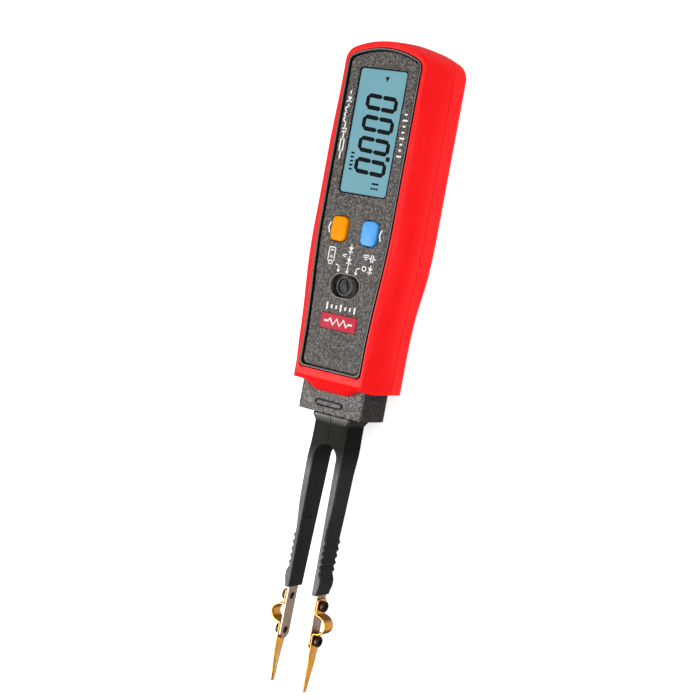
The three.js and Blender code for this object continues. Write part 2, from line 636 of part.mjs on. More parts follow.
function tipScrew(side, x) {
  const z = (BAR.z0 + BAR.z1) / 2;
  const seat = sheetY(x) + SHEET.thickness / 2 + 0.12;
  const { shank, head, headHeight } = TIP_SCREW;
  const ends = [barInnerY(x) + 0.1, seat + 0.1, seat, seat + headHeight].map((y) => side * y);
  return unite(cylinderY(x, z, shank, ends[0], ends[1], 14), cylinderY(x, z, head, ends[2], ends[3], 20));
}

for (const [name, side] of [['left', 1], ['right', -1]]) {
  part(`${name}_arm_root`, armRoot(side), 0x232325, 0.5);
  part(`${name}_arm`, arm(side), 0x232325, 0.5);
  part(`${name}_contact_bar`, contactBar(side), 0xa08c76, 0.35, 0.9);
  part(`${name}_contact_tip`, contactTip(side), 0xe0a040, 0.3, 0.95);
  TIP_SCREW.xs.forEach((x, i) => part(`${name}_tip_screw_${i + 1}`, tipScrew(side, x), 0x2a2220, 0.35, 0.9));
}

export default tester;
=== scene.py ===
"""A hand-held component tester with tweezer probes: its visible pieces, finishes, light and camera."""
import math

import bmesh
import bpy
import numpy as np
from mathutils import Matrix, Vector


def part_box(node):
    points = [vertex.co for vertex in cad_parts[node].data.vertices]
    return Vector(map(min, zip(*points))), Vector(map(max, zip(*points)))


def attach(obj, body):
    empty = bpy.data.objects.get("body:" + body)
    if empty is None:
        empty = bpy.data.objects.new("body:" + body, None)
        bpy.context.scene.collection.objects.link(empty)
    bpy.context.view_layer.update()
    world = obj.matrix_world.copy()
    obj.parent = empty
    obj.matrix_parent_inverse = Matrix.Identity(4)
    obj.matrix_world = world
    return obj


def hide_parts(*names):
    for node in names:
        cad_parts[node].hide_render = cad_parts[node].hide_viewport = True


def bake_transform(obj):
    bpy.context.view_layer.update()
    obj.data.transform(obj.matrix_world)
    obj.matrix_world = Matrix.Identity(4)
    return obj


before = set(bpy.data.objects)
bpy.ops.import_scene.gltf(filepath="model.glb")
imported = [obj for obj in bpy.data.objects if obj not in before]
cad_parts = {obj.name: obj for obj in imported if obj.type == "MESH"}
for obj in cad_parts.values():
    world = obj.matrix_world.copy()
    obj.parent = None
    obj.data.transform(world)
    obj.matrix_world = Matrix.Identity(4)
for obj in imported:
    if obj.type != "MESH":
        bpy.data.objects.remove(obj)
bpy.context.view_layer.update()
MM = 0.001


def box(node):
    """Lowest and highest corner of a CAD node, in millimetres."""
    low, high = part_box(node)
    return np.array(low) / MM, np.array(high) / MM


# ---------------------------------------------------------------- geometry, in millimetres

def smooth(t):
    c = np.clip(t, 0, 1)
    return c * c * (3 - 2 * c)


def mix(a, b, t):
    return a + (b - a) * t


def join(*shapes):
    """Several (points, faces) shapes as one."""
    points, faces, start = [], [], 0
    for p, f in shapes:
        points.append(np.asarray(p, float))
        faces += [tuple(i + start for i in face) for face in f]
        start += len(p)
    return np.vstack(points), faces


def mirrored(shape, side):
    """The shape, or its mirror image across the y = 0 plane where side is -1."""
    points = np.array(shape[0], float)
    if side > 0:
        return points, shape[1]
    points[:, 1] *= -1
    return points, [tuple(reversed(face)) for face in shape[1]]


def loft(rings, wrap=False, caps=True):
    """Quads between closed rings of equal length. wrap joins the last ring to the first, as in a tube."""
    count, size = len(rings), len(rings[0])
    points = np.vstack(rings)
    faces = []
    for i in range(count if wrap else count - 1):
        a, b = i * size, (i + 1) % count * size
        for j in range(size):
            k = (j + 1) % size
            faces.append((a + j, a + k, b + k, b + j))
    if caps and not wrap:
        faces.append(tuple(reversed(range(size))))
        faces.append(tuple(range((count - 1) * size, count * size)))
    return points, faces


def level(outline, z):
    """An outline in x and y, lifted to a height that is one number or one per point."""
    outline = np.asarray(outline, float)
    return np.column_stack([outline, np.broadcast_to(z, len(outline))])


def rounded_rect(x, y, length, width, radius, steps=8):
    points = []
    for cx, cy, start in ((1, 1, 0), (-1, 1, 1), (-1, -1, 2), (1, -1, 3)):
        for i in range(steps + 1):
            a = (start + i / steps) * math.pi / 2
            points.append((x + cx * (length / 2 - radius) + radius * math.cos(a),
                           y + cy * (width / 2 - radius) + radius * math.sin(a)))
    return points


def circle(x, y, radius, steps=32):
    turns = [2 * math.pi * i / steps for i in range(steps)]
    return [(x + radius * math.cos(a), y + radius * math.sin(a)) for a in turns]


def lathe(profile, steps=48, x=0.0, y=0.0):
    """A solid of revolution about an upright axis, from (radius, height) pairs."""
    return loft([level(circle(x, y, r, steps), z) for r, z in profile])


def rounded_path(corners, radius, steps=6):
    """A closed outline with each corner replaced by an arc that is tangent to both sides."""
    points = []
    for i, corner in enumerate(corners):
        here = np.array(corner[:2], float)
        before = np.array(corners[i - 1][:2], float)
        after = np.array(corners[(i + 1) % len(corners)][:2], float)
        r = corner[2] if len(corner) > 2 else radius
        u, v = unit(before - here), unit(after - here)
        half = math.acos(np.clip(u @ v, -1, 1)) / 2
        if r <= 0 or half > math.pi / 2 - 0.02:
            points.append(tuple(here))
            continue
        centre = here + unit(u + v) * r / math.sin(half)
        a = here + u * r / math.tan(half) - centre
        b = here + v * r / math.tan(half) - centre
        turn = math.atan2(a[0] * b[1] - a[1] * b[0], a @ b)
        for k in range(steps + 1):
            t = turn * k / steps
            points.append((centre[0] + a[0] * math.cos(t) - a[1] * math.sin(t),
                           centre[1] + a[0] * math.sin(t) + a[1] * math.cos(t)))
    return points


def cleaned(points, faces, gap=1e-4):
    """The shape with meeting points joined and every face turned outwards."""
    mesh = bmesh.new()
    made = [mesh.verts.new(p) for p in points]
    for face in faces:
        if len(set(face)) > 2:
            try:
                mesh.faces.new([made[i] for i in face])
            except ValueError:
                pass
    bmesh.ops.remove_doubles(mesh, verts=mesh.verts, dist=gap)
    bmesh.ops.dissolve_degenerate(mesh, edges=mesh.edges, dist=gap)
    bmesh.ops.recalc_face_normals(mesh, faces=mesh.faces)
    mesh.verts.index_update()
    out = np.array([v.co for v in mesh.verts], float), [tuple(v.index for v in f.verts) for f in mesh.faces]
    mesh.free()
    return out


def linked(name, data):
    obj = bpy.data.objects.new(name, data)
    bpy.context.scene.collection.objects.link(obj)
    return obj


def evaluated(obj):
    """The points and faces that an object's curve or modifiers give."""
    mesh = bpy.data.meshes.new_from_object(obj.evaluated_get(bpy.context.evaluated_depsgraph_get()))
    points = np.array([v.co for v in mesh.vertices], float).reshape(-1, 3)
    faces = [tuple(p.vertices) for p in mesh.polygons]
    bpy.data.meshes.remove(mesh)
    return points, faces


def discard(obj):
    data = obj.data
    bpy.data.objects.remove(obj)
    (bpy.data.curves if isinstance(data, bpy.types.Curve) else bpy.data.meshes).remove(data)


def plate(contours, z0, z1, bevel=0.1, steps=3):
    """A flat plate with holes: outlines in x and y, from height z0 to z1, with rounded edges."""
    data = bpy.data.curves.new("plate", "CURVE")
    data.dimensions = "2D"
    data.fill_mode = "BOTH"
    data.extrude = (z1 - z0) / 2 - bevel
    data.bevel_depth = bevel
    data.bevel_resolution = steps
    data.offset = -bevel
    for contour in contours:
        spline = data.splines.new("POLY")
        spline.points.add(len(contour) - 1)
        for point, (x, y) in zip(spline.points, contour):
            point.co = (x, y, 0, 1)
        spline.use_cyclic_u = True
    obj = linked("plate", data)
    points, faces = evaluated(obj)
    discard(obj)
    points[:, 2] += (z0 + z1) / 2
    return cleaned(points, faces)


def solid_object(shape):
    mesh = bpy.data.meshes.new("solid")
    mesh.from_pydata([tuple(p) for p in shape[0]], [], shape[1])
    return linked("solid", mesh)


def carved(shape, *tools):
    """The shape less each tool, by exact booleans."""
    target = solid_object(shape)
    others = [solid_object(cleaned(*tool)) for tool in tools]
    for other in others:
        cut = target.modifiers.new("cut", "BOOLEAN")
        cut.operation = "DIFFERENCE"
        cut.solver = "EXACT"
        cut.object = other
    out = evaluated(target)
    for obj in [target, *others]:
        discard(obj)
    return cleaned(*out, gap=2e-4)


def block(x0, x1, y0, y1, z0, z1):
    corners = [(x0, y0), (x1, y0), (x1, y1), (x0, y1)]
    return loft([level(corners, z0), level(corners, z1)])


def rod(x, y, radius, z0, z1, steps=48):
    return lathe([(radius, z0), (radius, z1)], steps, x, y)


def unit(vectors):
    """Vectors, one or one per row, at length 1."""
    return vectors / np.linalg.norm(vectors, axis=-1, keepdims=True)


def stroke(path, width, z0, z1):
    """A line of even width along an open path, with square ends, as a thin plate."""
    path = np.array(path, float)
    along = unit(np.vstack([path[1:], path[-1:]]) - np.vstack([path[:1], path[:-1]]))
    side = np.column_stack([-along[:, 1], along[:, 0]]) * width / 2
    ring = np.vstack([path + side, (path - side)[::-1]])
    return loft([level(ring, z0), level(ring, z1)])


# ---------------------------------------------------------------- finishes

def node(tree, kind, **inputs):
    made = tree.nodes.new(kind)
    for key, value in inputs.items():
        made.inputs[key.replace("_", " ")].default_value = value
    return made


def noise(tree, where, size, detail=3.0, roughness=0.6, distortion=0.0):
    """Noise whose features are about size millimetres across."""
    made = node(tree, "ShaderNodeTexNoise", Scale=1 / (size * MM), Detail=detail, Roughness=roughness,
                Distortion=distortion)
    tree.links.new(where, made.inputs["Vector"])
    return made.outputs["Fac"]


def spread(tree, value, low, high, to_low, to_high):
    """A value moved from the range low to high into the range to_low to to_high, and kept inside it."""
    made = node(tree, "ShaderNodeMapRange", From_Min=low, From_Max=high, To_Min=to_low, To_Max=to_high)
    tree.links.new(value, made.inputs["Value"])
    return made.outputs["Result"]


def blend_colour(tree, share, a, b):
    """Colour a, or b where share is 1. Each colour is a socket or three numbers."""
    made = tree.nodes.new("ShaderNodeMix")
    made.data_type = "RGBA"
    tree.links.new(share, made.inputs["Factor"])
    for socket, value in ((made.inputs["A"], a), (made.inputs["B"], b)):
        if isinstance(value, bpy.types.NodeSocket):
            tree.links.new(value, socket)
        else:
            socket.default_value = (*value, 1)
    return made.outputs["Result"]


def combined(tree, a, b, operation="ADD"):
    made = tree.nodes.new("ShaderNodeMath")
    made.operation = operation
    tree.links.new(a, made.inputs[0])
    tree.links.new(b, made.inputs[1])
    return made.outputs["Value"]


def object_place(tree):
    return tree.nodes.new("ShaderNodeTexCoord").outputs["Object"]


def share_along(tree, axis, start, end, low, high):
    """From low at start to high at end, in millimetres along one of the object's axes."""
    parts = tree.nodes.new("ShaderNodeSeparateXYZ")
    tree.links.new(object_place(tree), parts.inputs["Vector"])
    return spread(tree, parts.outputs[axis], start * MM, end * MM, low, high)


def shade_of(colour, factor):
    return tuple(min(1.0, c * factor) for c in colour)


def finish(name, colour, rough=0.4, metal=0.0, tone=0.1, tone_size=9.0, speckle=0.0, speckle_size=0.5,
           speckle_colours=None, grain=0.3, grain_size=0.4, grain_depth=0.06, rough_spread=0.08, edge=0.0,
           wear_and_highlight_colour=(1, 1, 1), edge_from=0.52, specular=0.5, coat=0.0, alpha=1.0, brushed=None, scuffs=0.0,
           grit=0.0, grit_size=0.3):
    """A procedural finish, with sizes in millimetres: tone, speckle and grit in the colour, edges lightened
    as wear and as painted highlight, and roughness and bump that vary. brushed squeezes the fine patterns
    along each axis."""
    made = bpy.data.materials.new(name)
    made.use_nodes = True
    tree = made.node_tree
    shader = tree.nodes["Principled BSDF"]
    for key, number in (("Metallic", metal), ("Specular IOR Level", specular), ("Coat Weight", coat),
                        ("Coat Roughness", 0.1), ("Alpha", alpha)):
        shader.inputs[key].default_value = number
    fine = where = object_place(tree)
    if brushed:
        stretch = node(tree, "ShaderNodeMapping", Scale=brushed)
        tree.links.new(where, stretch.inputs["Vector"])
        fine = stretch.outputs["Vector"]
    base = blend_colour(tree, spread(tree, noise(tree, where, tone_size, 4), 0.3, 0.7, 0, 1),
                        shade_of(colour, 1 - tone), shade_of(colour, 1 + tone))
    if speckle:
        dark, light = speckle_colours or (shade_of(colour, 0.45), shade_of(colour, 1.9))
        low = spread(tree, noise(tree, fine, speckle_size, 2, 0.8), 0.36, 0.5, speckle, 0)
        high = spread(tree, noise(tree, fine, speckle_size * 0.83, 2, 0.8, 0.3), 0.53, 0.68, 0, speckle)
        base = blend_colour(tree, low, base, dark)
        base = blend_colour(tree, high, base, light)
    if grit:
        cells = node(tree, "ShaderNodeTexVoronoi", Scale=1 / (grit_size * MM))
        tree.links.new(where, cells.inputs["Vector"])
        parts = tree.nodes.new("ShaderNodeSeparateColor")
        tree.links.new(cells.outputs["Color"], parts.inputs["Color"])
        cell = parts.outputs["Red"]
        base = blend_colour(tree, spread(tree, cell, 0, 0.5, grit, 0), base, shade_of(colour, 0.06))
        base = blend_colour(tree, spread(tree, cell, 0.5, 1, 0, grit), base, shade_of(colour, 4.2))
    # Edges found by pointiness are painted lighter: partly wear, partly a painted highlight where light
    # catches an edge.
    if edge:
        pointed = tree.nodes.new("ShaderNodeNewGeometry").outputs["Pointiness"]
        wear_and_highlight = combined(tree, spread(tree, pointed, edge_from, edge_from + 0.06, 0, edge),
                        spread(tree, noise(tree, where, 1.6, 4), 0.35, 0.65, 0.25, 1), "MULTIPLY")
        base = blend_colour(tree, wear_and_highlight, base, wear_and_highlight_colour)
    tree.links.new(base, shader.inputs["Base Color"])
    smudges = spread(tree, noise(tree, where, 14, 5, 0.65, 0.4), 0.3, 0.7,
                     max(0.03, rough - rough_spread), min(1, rough + rough_spread))
    if grit:
        smudges = combined(tree, smudges, spread(tree, cell, 0, 1, -0.05 * grit, 0.12 * grit))
    if scuffs:
        lines = node(tree, "ShaderNodeTexWave", Scale=55, Distortion=38, Detail=3, Detail_Scale=0.6)
        tree.links.new(where, lines.inputs["Vector"])
        smudges = combined(tree, smudges, spread(tree, lines.outputs["Fac"], 0.985, 1.0, 0, scuffs))
    tree.links.new(smudges, shader.inputs["Roughness"])
    if grain:
        bump = node(tree, "ShaderNodeBump", Strength=grain, Distance=grain_depth * MM)
        tree.links.new(noise(tree, fine, grain_size, 3, 0.65), bump.inputs["Height"])
        tree.links.new(bump.outputs["Normal"], shader.inputs["Normal"])
    return made


# Its edges are painted a lighter red: wear, and a painted highlight along the rims.
SHELL_RED = finish(
    "shell_red_plastic", (0.93, 0.004, 0.005), rough=0.36, tone=0.035, tone_size=22, grain=0.12,
    grain_size=0.35,
    rough_spread=0.06, edge=0.22, wear_and_highlight_colour=(1.0, 0.045, 0.035), specular=0.16, scuffs=0.08)
# The shell's red darkened for the lip in the seam: painted shade.
SEAM_SHADE_RED = finish("seam_painted_shade_red", (0.30, 0.001, 0.001), rough=0.5, tone=0.15, speckle=0.2, grain=0.2,
                 specular=0.08)
PANEL_DARK = finish(
    "panel_speckled", (0.050, 0.044, 0.040), rough=0.52, speckle=0.15, speckle_size=0.45,
    speckle_colours=((0.014, 0.013, 0.012), (0.18, 0.162, 0.145)), grain=1.0, grain_size=0.5, grain_depth=0.1,
    specular=0.4, grit=1.0, grit_size=0.33)
# Its edges are painted grey: a painted highlight on the frame's crest.
TRIM_BLACK = finish(
    "trim_black", (0.010, 0.010, 0.010), rough=0.34, tone=0.12, tone_size=5, speckle=0.3, speckle_size=0.4,
    grain=0.2, edge=0.4, wear_and_highlight_colour=(0.10, 0.10, 0.09), specular=0.3)
# A pale grey used as a painted highlight on the frame's crest; the thin ring round the switch uses it too.
TRIM_EDGE = finish(
    "trim_edge_grey", (0.19, 0.182, 0.165), tone=0.15, tone_size=2, speckle=0.4, speckle_size=0.4)
SEAL_BLACK = finish(
    "seal_black", (0.004, 0.004, 0.004), rough=0.6, tone=0.2, tone_size=2, speckle=0.3, specular=0.1)
# The keys' edges are painted lighter: a painted highlight round the rim of each key.
KEY_LOOK = dict(rough=0.36, tone=0.05, tone_size=3, grain=0.15, grain_size=0.25, edge_from=0.51)
BUTTON_ORANGE = finish(
    "button_orange_plastic", (0.95, 0.31, 0.001), edge=0.6, wear_and_highlight_colour=(1.0, 0.47, 0.03), specular=0.03,
    **KEY_LOOK)
BUTTON_BLUE = finish(
    "button_blue_plastic", (0.075, 0.36, 0.84), edge=0.8, wear_and_highlight_colour=(0.35, 0.68, 0.98), specular=0.2,
    **KEY_LOOK)
# Its edges are painted light grey: a painted highlight on the knob's rims and ridge.
KNOB_BLACK = finish(
    "knob_black_plastic", (0.009, 0.009, 0.009), rough=0.45, tone=0.2, tone_size=1.5, speckle=0.5,
    speckle_size=0.35, grain=0.6, grain_size=0.3, edge=0.9, wear_and_highlight_colour=(0.24, 0.235, 0.22), edge_from=0.51,
    specular=0.26, grit=0.5)
NECK_GREY = finish(
    "neck_grey_plastic", (0.066, 0.060, 0.056), rough=0.46, tone_size=5, speckle=0.1, speckle_size=0.45,
    speckle_colours=((0.007, 0.006, 0.006), (0.04, 0.037, 0.034)), grain=1.0, grain_size=0.5,
    grain_depth=0.13,
    grit=1.0, grit_size=0.36)
# Its edges are painted lighter: a painted highlight along the arms' front edges.
ARM_BLACK = finish(
    "arm_black_plastic", (0.014, 0.0135, 0.0125), tone=0.18, tone_size=6, speckle=0.3, speckle_size=0.55,
    speckle_colours=((0.004, 0.004, 0.004), (0.028, 0.027, 0.025)), grain=0.7, edge=0.6,
    wear_and_highlight_colour=(0.05, 0.048, 0.045), specular=0.68, grit=1.0)
# Its edges are painted pale: a painted highlight along the bars' edges.
NICKEL = finish(
    "warm_nickel", (0.30, 0.215, 0.16), rough=0.32, metal=1, tone=0.16, tone_size=2.2, speckle=0.3,
    speckle_colours=((0.22, 0.17, 0.13), (0.62, 0.55, 0.48)), grain=0.25, grain_size=0.25, edge=0.35,
    wear_and_highlight_colour=(0.75, 0.68, 0.6), brushed=(0.25, 1, 1))
# Its edges are painted pale gold: a painted highlight along the sheets' edges.
GOLD = finish(
    "gold_plate", (0.74, 0.315, 0.040), rough=0.3, metal=1, tone=0.16, tone_size=2.6, speckle=0.4,
    speckle_size=0.55, speckle_colours=((0.50, 0.19, 0.022), (0.92, 0.52, 0.14)), grain_size=0.22, edge=0.8,
    wear_and_highlight_colour=(1.0, 0.80, 0.50), edge_from=0.515, brushed=(0.3, 1, 1))
# Its edges are painted lighter brown: a painted highlight on the screws' rims.
DARK_SCREW = finish(
    "blackened_steel", (0.040, 0.022, 0.019), metal=0.8, tone=0.3, tone_size=0.8, speckle=0.4,
    speckle_size=0.3,
    grain=0.5, grain_size=0.2, edge=0.6, wear_and_highlight_colour=(0.20, 0.15, 0.14))
STEEL = finish(
    "bright_steel", (0.55, 0.55, 0.56), rough=0.28, metal=1, tone_size=4, speckle=0.2, grain=0.2,
    grain_size=0.3,
    brushed=(0.2, 1, 1))
BRASS = finish(
    "spring_brass", (0.62, 0.43, 0.16), rough=0.3, metal=1, tone=0.12, tone_size=3, speckle=0.25, grain=0.2,
    grain_size=0.3)
DISPLAY_TEAL = finish(
    "display_teal", (0.190, 0.425, 0.495), rough=0.55, tone=0.03, tone_size=12, speckle=0.10,
    speckle_colours=((0.175, 0.39, 0.455), (0.23, 0.48, 0.55)), grain=0.08, specular=0.08)
SEGMENT_INK = finish(
    "segment_ink", (0.001, 0.002, 0.003), rough=0.5, tone=0.25, tone_size=1.2, grain=0.1, specular=0.04)
WHITE_INK = finish(
    "white_print", (0.86, 0.85, 0.83), rough=0.55, tone=0.05, tone_size=0.8, speckle=0.25, speckle_size=0.25,
    speckle_colours=((0.55, 0.54, 0.52), (0.95, 0.95, 0.94)))
BADGE_RED = finish(
    "badge_red_plastic", (0.54, 0.022, 0.048), rough=0.42, tone=0.07, tone_size=2, speckle=0.3,
    speckle_size=0.35,
    speckle_colours=((0.36, 0.014, 0.03), (0.66, 0.07, 0.10)), specular=0.1)
BLACK_PLASTIC = finish("black_plastic", (0.012, 0.012, 0.013), rough=0.45, tone=0.2, tone_size=3, speckle=0.3)
WHITE_PLASTIC = finish("white_plastic", (0.62, 0.64, 0.62), rough=0.5, tone=0.05, speckle=0.1, grain=0.25)
RUBBER_PINK = finish("conductive_rubber", (0.62, 0.2, 0.32), rough=0.75, tone_size=1, grain=0.4)
BOARD_GREEN = finish(
    "board_green", (0.012, 0.13, 0.045), tone=0.15, tone_size=2, speckle=0.3, speckle_size=0.7, grain=0.25,
    coat=0.4)
CLEAR = finish(
    "clear_plastic", (0.05, 0.06, 0.06), rough=0.08, tone=0.04, rough_spread=0.04, grain=0.03, alpha=0.04,
    specular=0.05)


def matt_and_painted_shade_between(material, x0, x1, colour, fade=7):
    """Matt between two places along x, in millimetres, with a soft edge on the x0 side: rougher, less glossy,
    and with painted shade that turns the colour plain and dark.
    """
    tree = material.node_tree
    base, rough, gloss = (tree.nodes["Principled BSDF"].inputs[name]
                          for name in ("Base Color", "Roughness", "Specular IOR Level"))
    share = combined(tree, share_along(tree, "X", x0 - fade, x0, 0, 1),
                     share_along(tree, "X", x1, x1 + 1, 1, 0),
                     "MULTIPLY")
    # Painted shade: the colour is mixed towards the given dark colour.
    tree.links.new(blend_colour(tree, spread(tree, share, 0, 1, 0, 0.75), base.links[0].from_socket, colour),
                   base)
    tree.links.new(spread(tree, share, 0, 1, gloss.default_value, 0.3 * gloss.default_value), gloss)
    tree.links.new(combined(tree, rough.links[0].from_socket, spread(tree, share, 0, 1, 0, 0.28)), rough)


def painted_shade_below(material, z, colour, fade=0.3):
    """Painted shade on the sides: below z, in millimetres, the colour turns plain and dark, so the moulded
    grain shows on the front face only.
    """
    tree = material.node_tree
    base = tree.nodes["Principled BSDF"].inputs["Base Color"]
    share = share_along(tree, "Z", z - fade, z, 0.85, 0)
    tree.links.new(blend_colour(tree, share, base.links[0].from_socket, colour), base)


# The fork's root is rougher and less glossy there, and painted shade darkens its colour.
matt_and_painted_shade_between(ARM_BLACK, -21.5, -15.2, (0.006, 0.006, 0.0055))
# Painted shade on the sides of the neck and of the arms, below their front faces.
painted_shade_below(NECK_GREY, 15.55, (0.009, 0.008, 0.0075))
painted_shade_below(ARM_BLACK, 13.3, (0.002, 0.002, 0.002))


# ---------------------------------------------------------------- pieces

def piece(name, shape, material, slot, *replaced, body="housing", bend=None):
    """A named piece, smooth between its creases. It rides on a body, or, where bend is given, stays where it
    is with its transform baked in.
    """
    mesh = bpy.data.meshes.new(name)
    mesh.from_pydata([tuple(p * MM) for p in np.asarray(shape[0])], [], shape[1])
    mesh.validate()
    work = bmesh.new()
    work.from_mesh(mesh)
    for face in work.faces:
        face.smooth = True
    for edge in work.edges:
        edge.smooth = len(edge.link_faces) == 2 and edge.calc_face_angle(0) < CREASE
    work.to_mesh(mesh)
    work.free()
    mesh.materials.append(material)
    obj = linked(name, mesh)
    obj.modifiers.new("weighted normals", "WEIGHTED_NORMAL").keep_sharp = True
    if bend:
        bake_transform(obj)
    else:
        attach(obj, body)
    if replaced:
        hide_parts(*replaced)
    return obj


CREASE = math.radians(34)
(TONGUE_X, _, SEAM_TOP), (HEAD_X, HALF_HEAD, RIM_Z) = box("front_cover")
(TAIL_X, _, _), (_, _, SEAM_BOTTOM) = box("rear_cover")
(TRIM_TAIL, _, TRIM_LOW), (TRIM_HEAD, TRIM_HALF, TRIM_TOP) = box("panel_trim")
(_, _, PANEL_LOW), (_, _, PANEL_Z) = box("front_panel")
HALF_TAIL = 15.9
SEAM_Z = (SEAM_TOP + SEAM_BOTTOM) / 2
HEAD_ARCH, HEAD_CORNER = 35, 4
TRIM_INSET, TRIM_WIDTH = 0.4, 0.4
PANEL_INSET = HALF_HEAD - TRIM_HALF - TRIM_INSET
ARCH_LOSS = 8.5
WALL = 1.8


def half_width(x):
    """Half the housing's width at the seam: slim at the waist, full width from the buttons on."""
    return mix(HALF_TAIL, HALF_HEAD, smooth((x - 6) / 34))


SIDE_STEPS, ARC_STEPS, TAIL_STEPS = 72, 14, 56


def sides_and_head(inset, head_x, arch, corner, tail_x):
    """From the tail end of the -y side round the arched head to that of the +y side."""
    arch_x = head_x - arch
    corner_y = HALF_HEAD - inset - corner
    corner_x = arch_x + math.sqrt((arch - corner) ** 2 - corner_y ** 2)
    meet = math.atan2(corner_y, corner_x - arch_x)
    along = np.linspace(tail_x, corner_x, SIDE_STEPS, endpoint=False)
    right = np.column_stack([along, inset - half_width(along)])
    arcs = []
    for x, y, r, a, b, count in ((corner_x, -corner_y, corner, -math.pi / 2, -meet, ARC_STEPS),
                                 (arch_x, 0, arch, -meet, meet, 3 * ARC_STEPS),
                                 (corner_x, corner_y, corner, meet, math.pi / 2, ARC_STEPS)):
        turn = np.linspace(a, b, count, endpoint=False)
        arcs.append(np.column_stack([x + r * np.cos(turn), y + r * np.sin(turn)]))
    back = np.linspace(corner_x, tail_x, SIDE_STEPS + 1)
    left = np.column_stack([back, half_width(back) - inset])
    return np.vstack([right, *arcs, left])


def housing_outline(inset, head_inset, arch_loss, shoulder, tongue):
    """The housing's outline, pulled in by inset. Its tail is straight from side to side, or has a tongue."""
    points = sides_and_head(inset, HEAD_X - head_inset, HEAD_ARCH - arch_loss, HEAD_CORNER, shoulder)
    reach = min(10.0, half_width(shoulder) - inset - 0.5)
    y = np.linspace(reach, -reach, TAIL_STEPS)
    x = mix(shoulder, tongue, smooth((reach - np.abs(y)) / 5.5))
    return np.vstack([points, np.column_stack([x, y])])


def ring_faces(start, flip):
    """Faces that close a housing ring from side to side, flat across y."""
    last = 2 * SIDE_STEPS + 5 * ARC_STEPS
    faces = [(0, 1, last - 1, *range(last, last + TAIL_STEPS + 1))]
    for i in range(1, last // 2):
        faces.append((i, i + 1, last - i - 1, last - i) if i + 1 < last - i - 1 else (i, i + 1, last - i))
    return [tuple(start + k for k in (reversed(face) if flip else face)) for face in faces]


def panel_outline(offset):
    """The outline of the panel's frame, pulled in by offset, with as many points as the housing's."""
    corner, corner_steps = 1.4, 20
    straight_steps = TAIL_STEPS - 2 * corner_steps
    tail = TRIM_TAIL - TRIM_INSET + offset
    inset = PANEL_INSET + offset
    head = TRIM_HEAD + TRIM_INSET - offset
    points = sides_and_head(inset, head, 25 - offset, max(1.2, 3 - offset), tail + corner)
    y = half_width(tail) - inset - corner
    turn = (np.arange(corner_steps) + 0.5) / corner_steps * math.pi / 2
    left = np.column_stack([tail + corner - corner * np.sin(turn), y + corner * np.cos(turn)])
    straight = np.column_stack([np.full(straight_steps, tail), np.linspace(y, -y, straight_steps + 2)[1:-1]])
    return np.vstack([points, left, straight, left[::-1] * (1, -1)])


def back_rise(x):
    """How far the back face is raised at the waist."""
    return 2 * (1 - smooth((x - 16) / 14))


# Stations of (height, inset, head inset, shoulder x, tongue x) up the front cover's sloped side.
SLOPE = np.array([
    (SEAM_TOP, 0.0, 0.0, TAIL_X, TAIL_X), (13.5, 1.0, 0.2, -3.95, -3.95), (15.5, 2.25, 0.45, -4.2, -4.2),
    (15.96, 2.55, 0.5, -4.25, -4.25), (16.0, 2.58, 0.51, -4.25, TONGUE_X), (16.6, 3.0, 0.6, -4.25, -6.3),
    (17.7, 3.72, 0.75, -4.1, -5.3), (18.5, 4.22, 0.9, -3.8, -4.2), (18.9, 4.48, 0.99, -3.45, -3.6),
    (19.15, 4.68, 1.07, -3.1, -3.2), (19.29, 4.86, 1.14, -2.7, -2.8), (RIM_Z, 5.05, 1.22, -2.35, -2.45),
])


def bulge(x):
    """How far the middle of the sloped side stands out: most where the waist widens, none at either end."""
    return 0.62 * smooth((x + 3) / 12) * (1 - smooth((x - 58) / 26)) + 0.38 * np.exp(-((x - 27) / 13) ** 2)


def slope_ring(z, extra=0.0):
    inset, head_inset, shoulder, tongue = (float(np.interp(z, SLOPE[:, 0], column)) for column in SLOPE.T[1:])
    outline = housing_outline(inset + extra, head_inset + extra, ARCH_LOSS * head_inset + extra, shoulder,
                              tongue)
    share = math.sin(math.pi * (z - SEAM_TOP) / (RIM_Z - SEAM_TOP)) ** 0.8
    outline[:, 1] += np.sign(outline[:, 1]) * bulge(outline[:, 0]) * share
    return level(outline, z)


(NECK_TAIL, _, NECK_BOTTOM), (NECK_FRONT, _, _) = box("neck_housing")
NECK_HALF, NECK_TOP = 10.8, 15.7


def neck_section(x, grow=0.0, corner=1.6):
    """The neck's rounded section at x."""
    height = NECK_TOP - NECK_BOTTOM + 2 * grow
    middle = (NECK_TOP + NECK_BOTTOM) / 2
    outline = np.array(rounded_rect(0, middle, 2 * (NECK_HALF + grow), height, corner + grow, 10))
    return np.column_stack([np.full(len(outline), x), outline])


def neck_opening():
    return loft([neck_section(x, 0.22) for x in (NECK_TAIL - 4, NECK_FRONT + 0.3)])


def front_cover():
    rings = [slope_ring(SEAM_TOP + lift, extra) for lift, extra in ((0.0, 0.08), (0.03, 0.02), (0.08, 0.0))]
    rings += [slope_ring(z) for z in (
        12.2, 12.8, 13.5, 14.2, 14.9, 15.5, 15.96, 16.0, 16.3, 16.6, 17.1, 17.7, 18.1, 18.5, 18.75, 18.9,
        19.04,
        19.15, 19.23, 19.29, RIM_Z)]
    rings += [level(panel_outline(0.15 - out), RIM_Z - drop)
              for drop, out in ((0.0, 0.12), (0.05, 0.03), (0.16, 0.0), (RIM_Z - 16.6, 0.0))]
    rings += [level(panel_outline(1.6), z) for z in (16.6, 15.4)]
    tail = TAIL_X + WALL
    for z, inset, head in ((15.3, 2.2, 0.45), (13.5, 1.0, 0.2), (SEAM_TOP, 0.0, 0.0)):
        outline = housing_outline(inset + WALL + 0.3, head + WALL, ARCH_LOSS * head + WALL, tail, tail)
        rings.append(level(outline, z))
    return carved(cleaned(*loft(rings, wrap=True)), neck_opening())


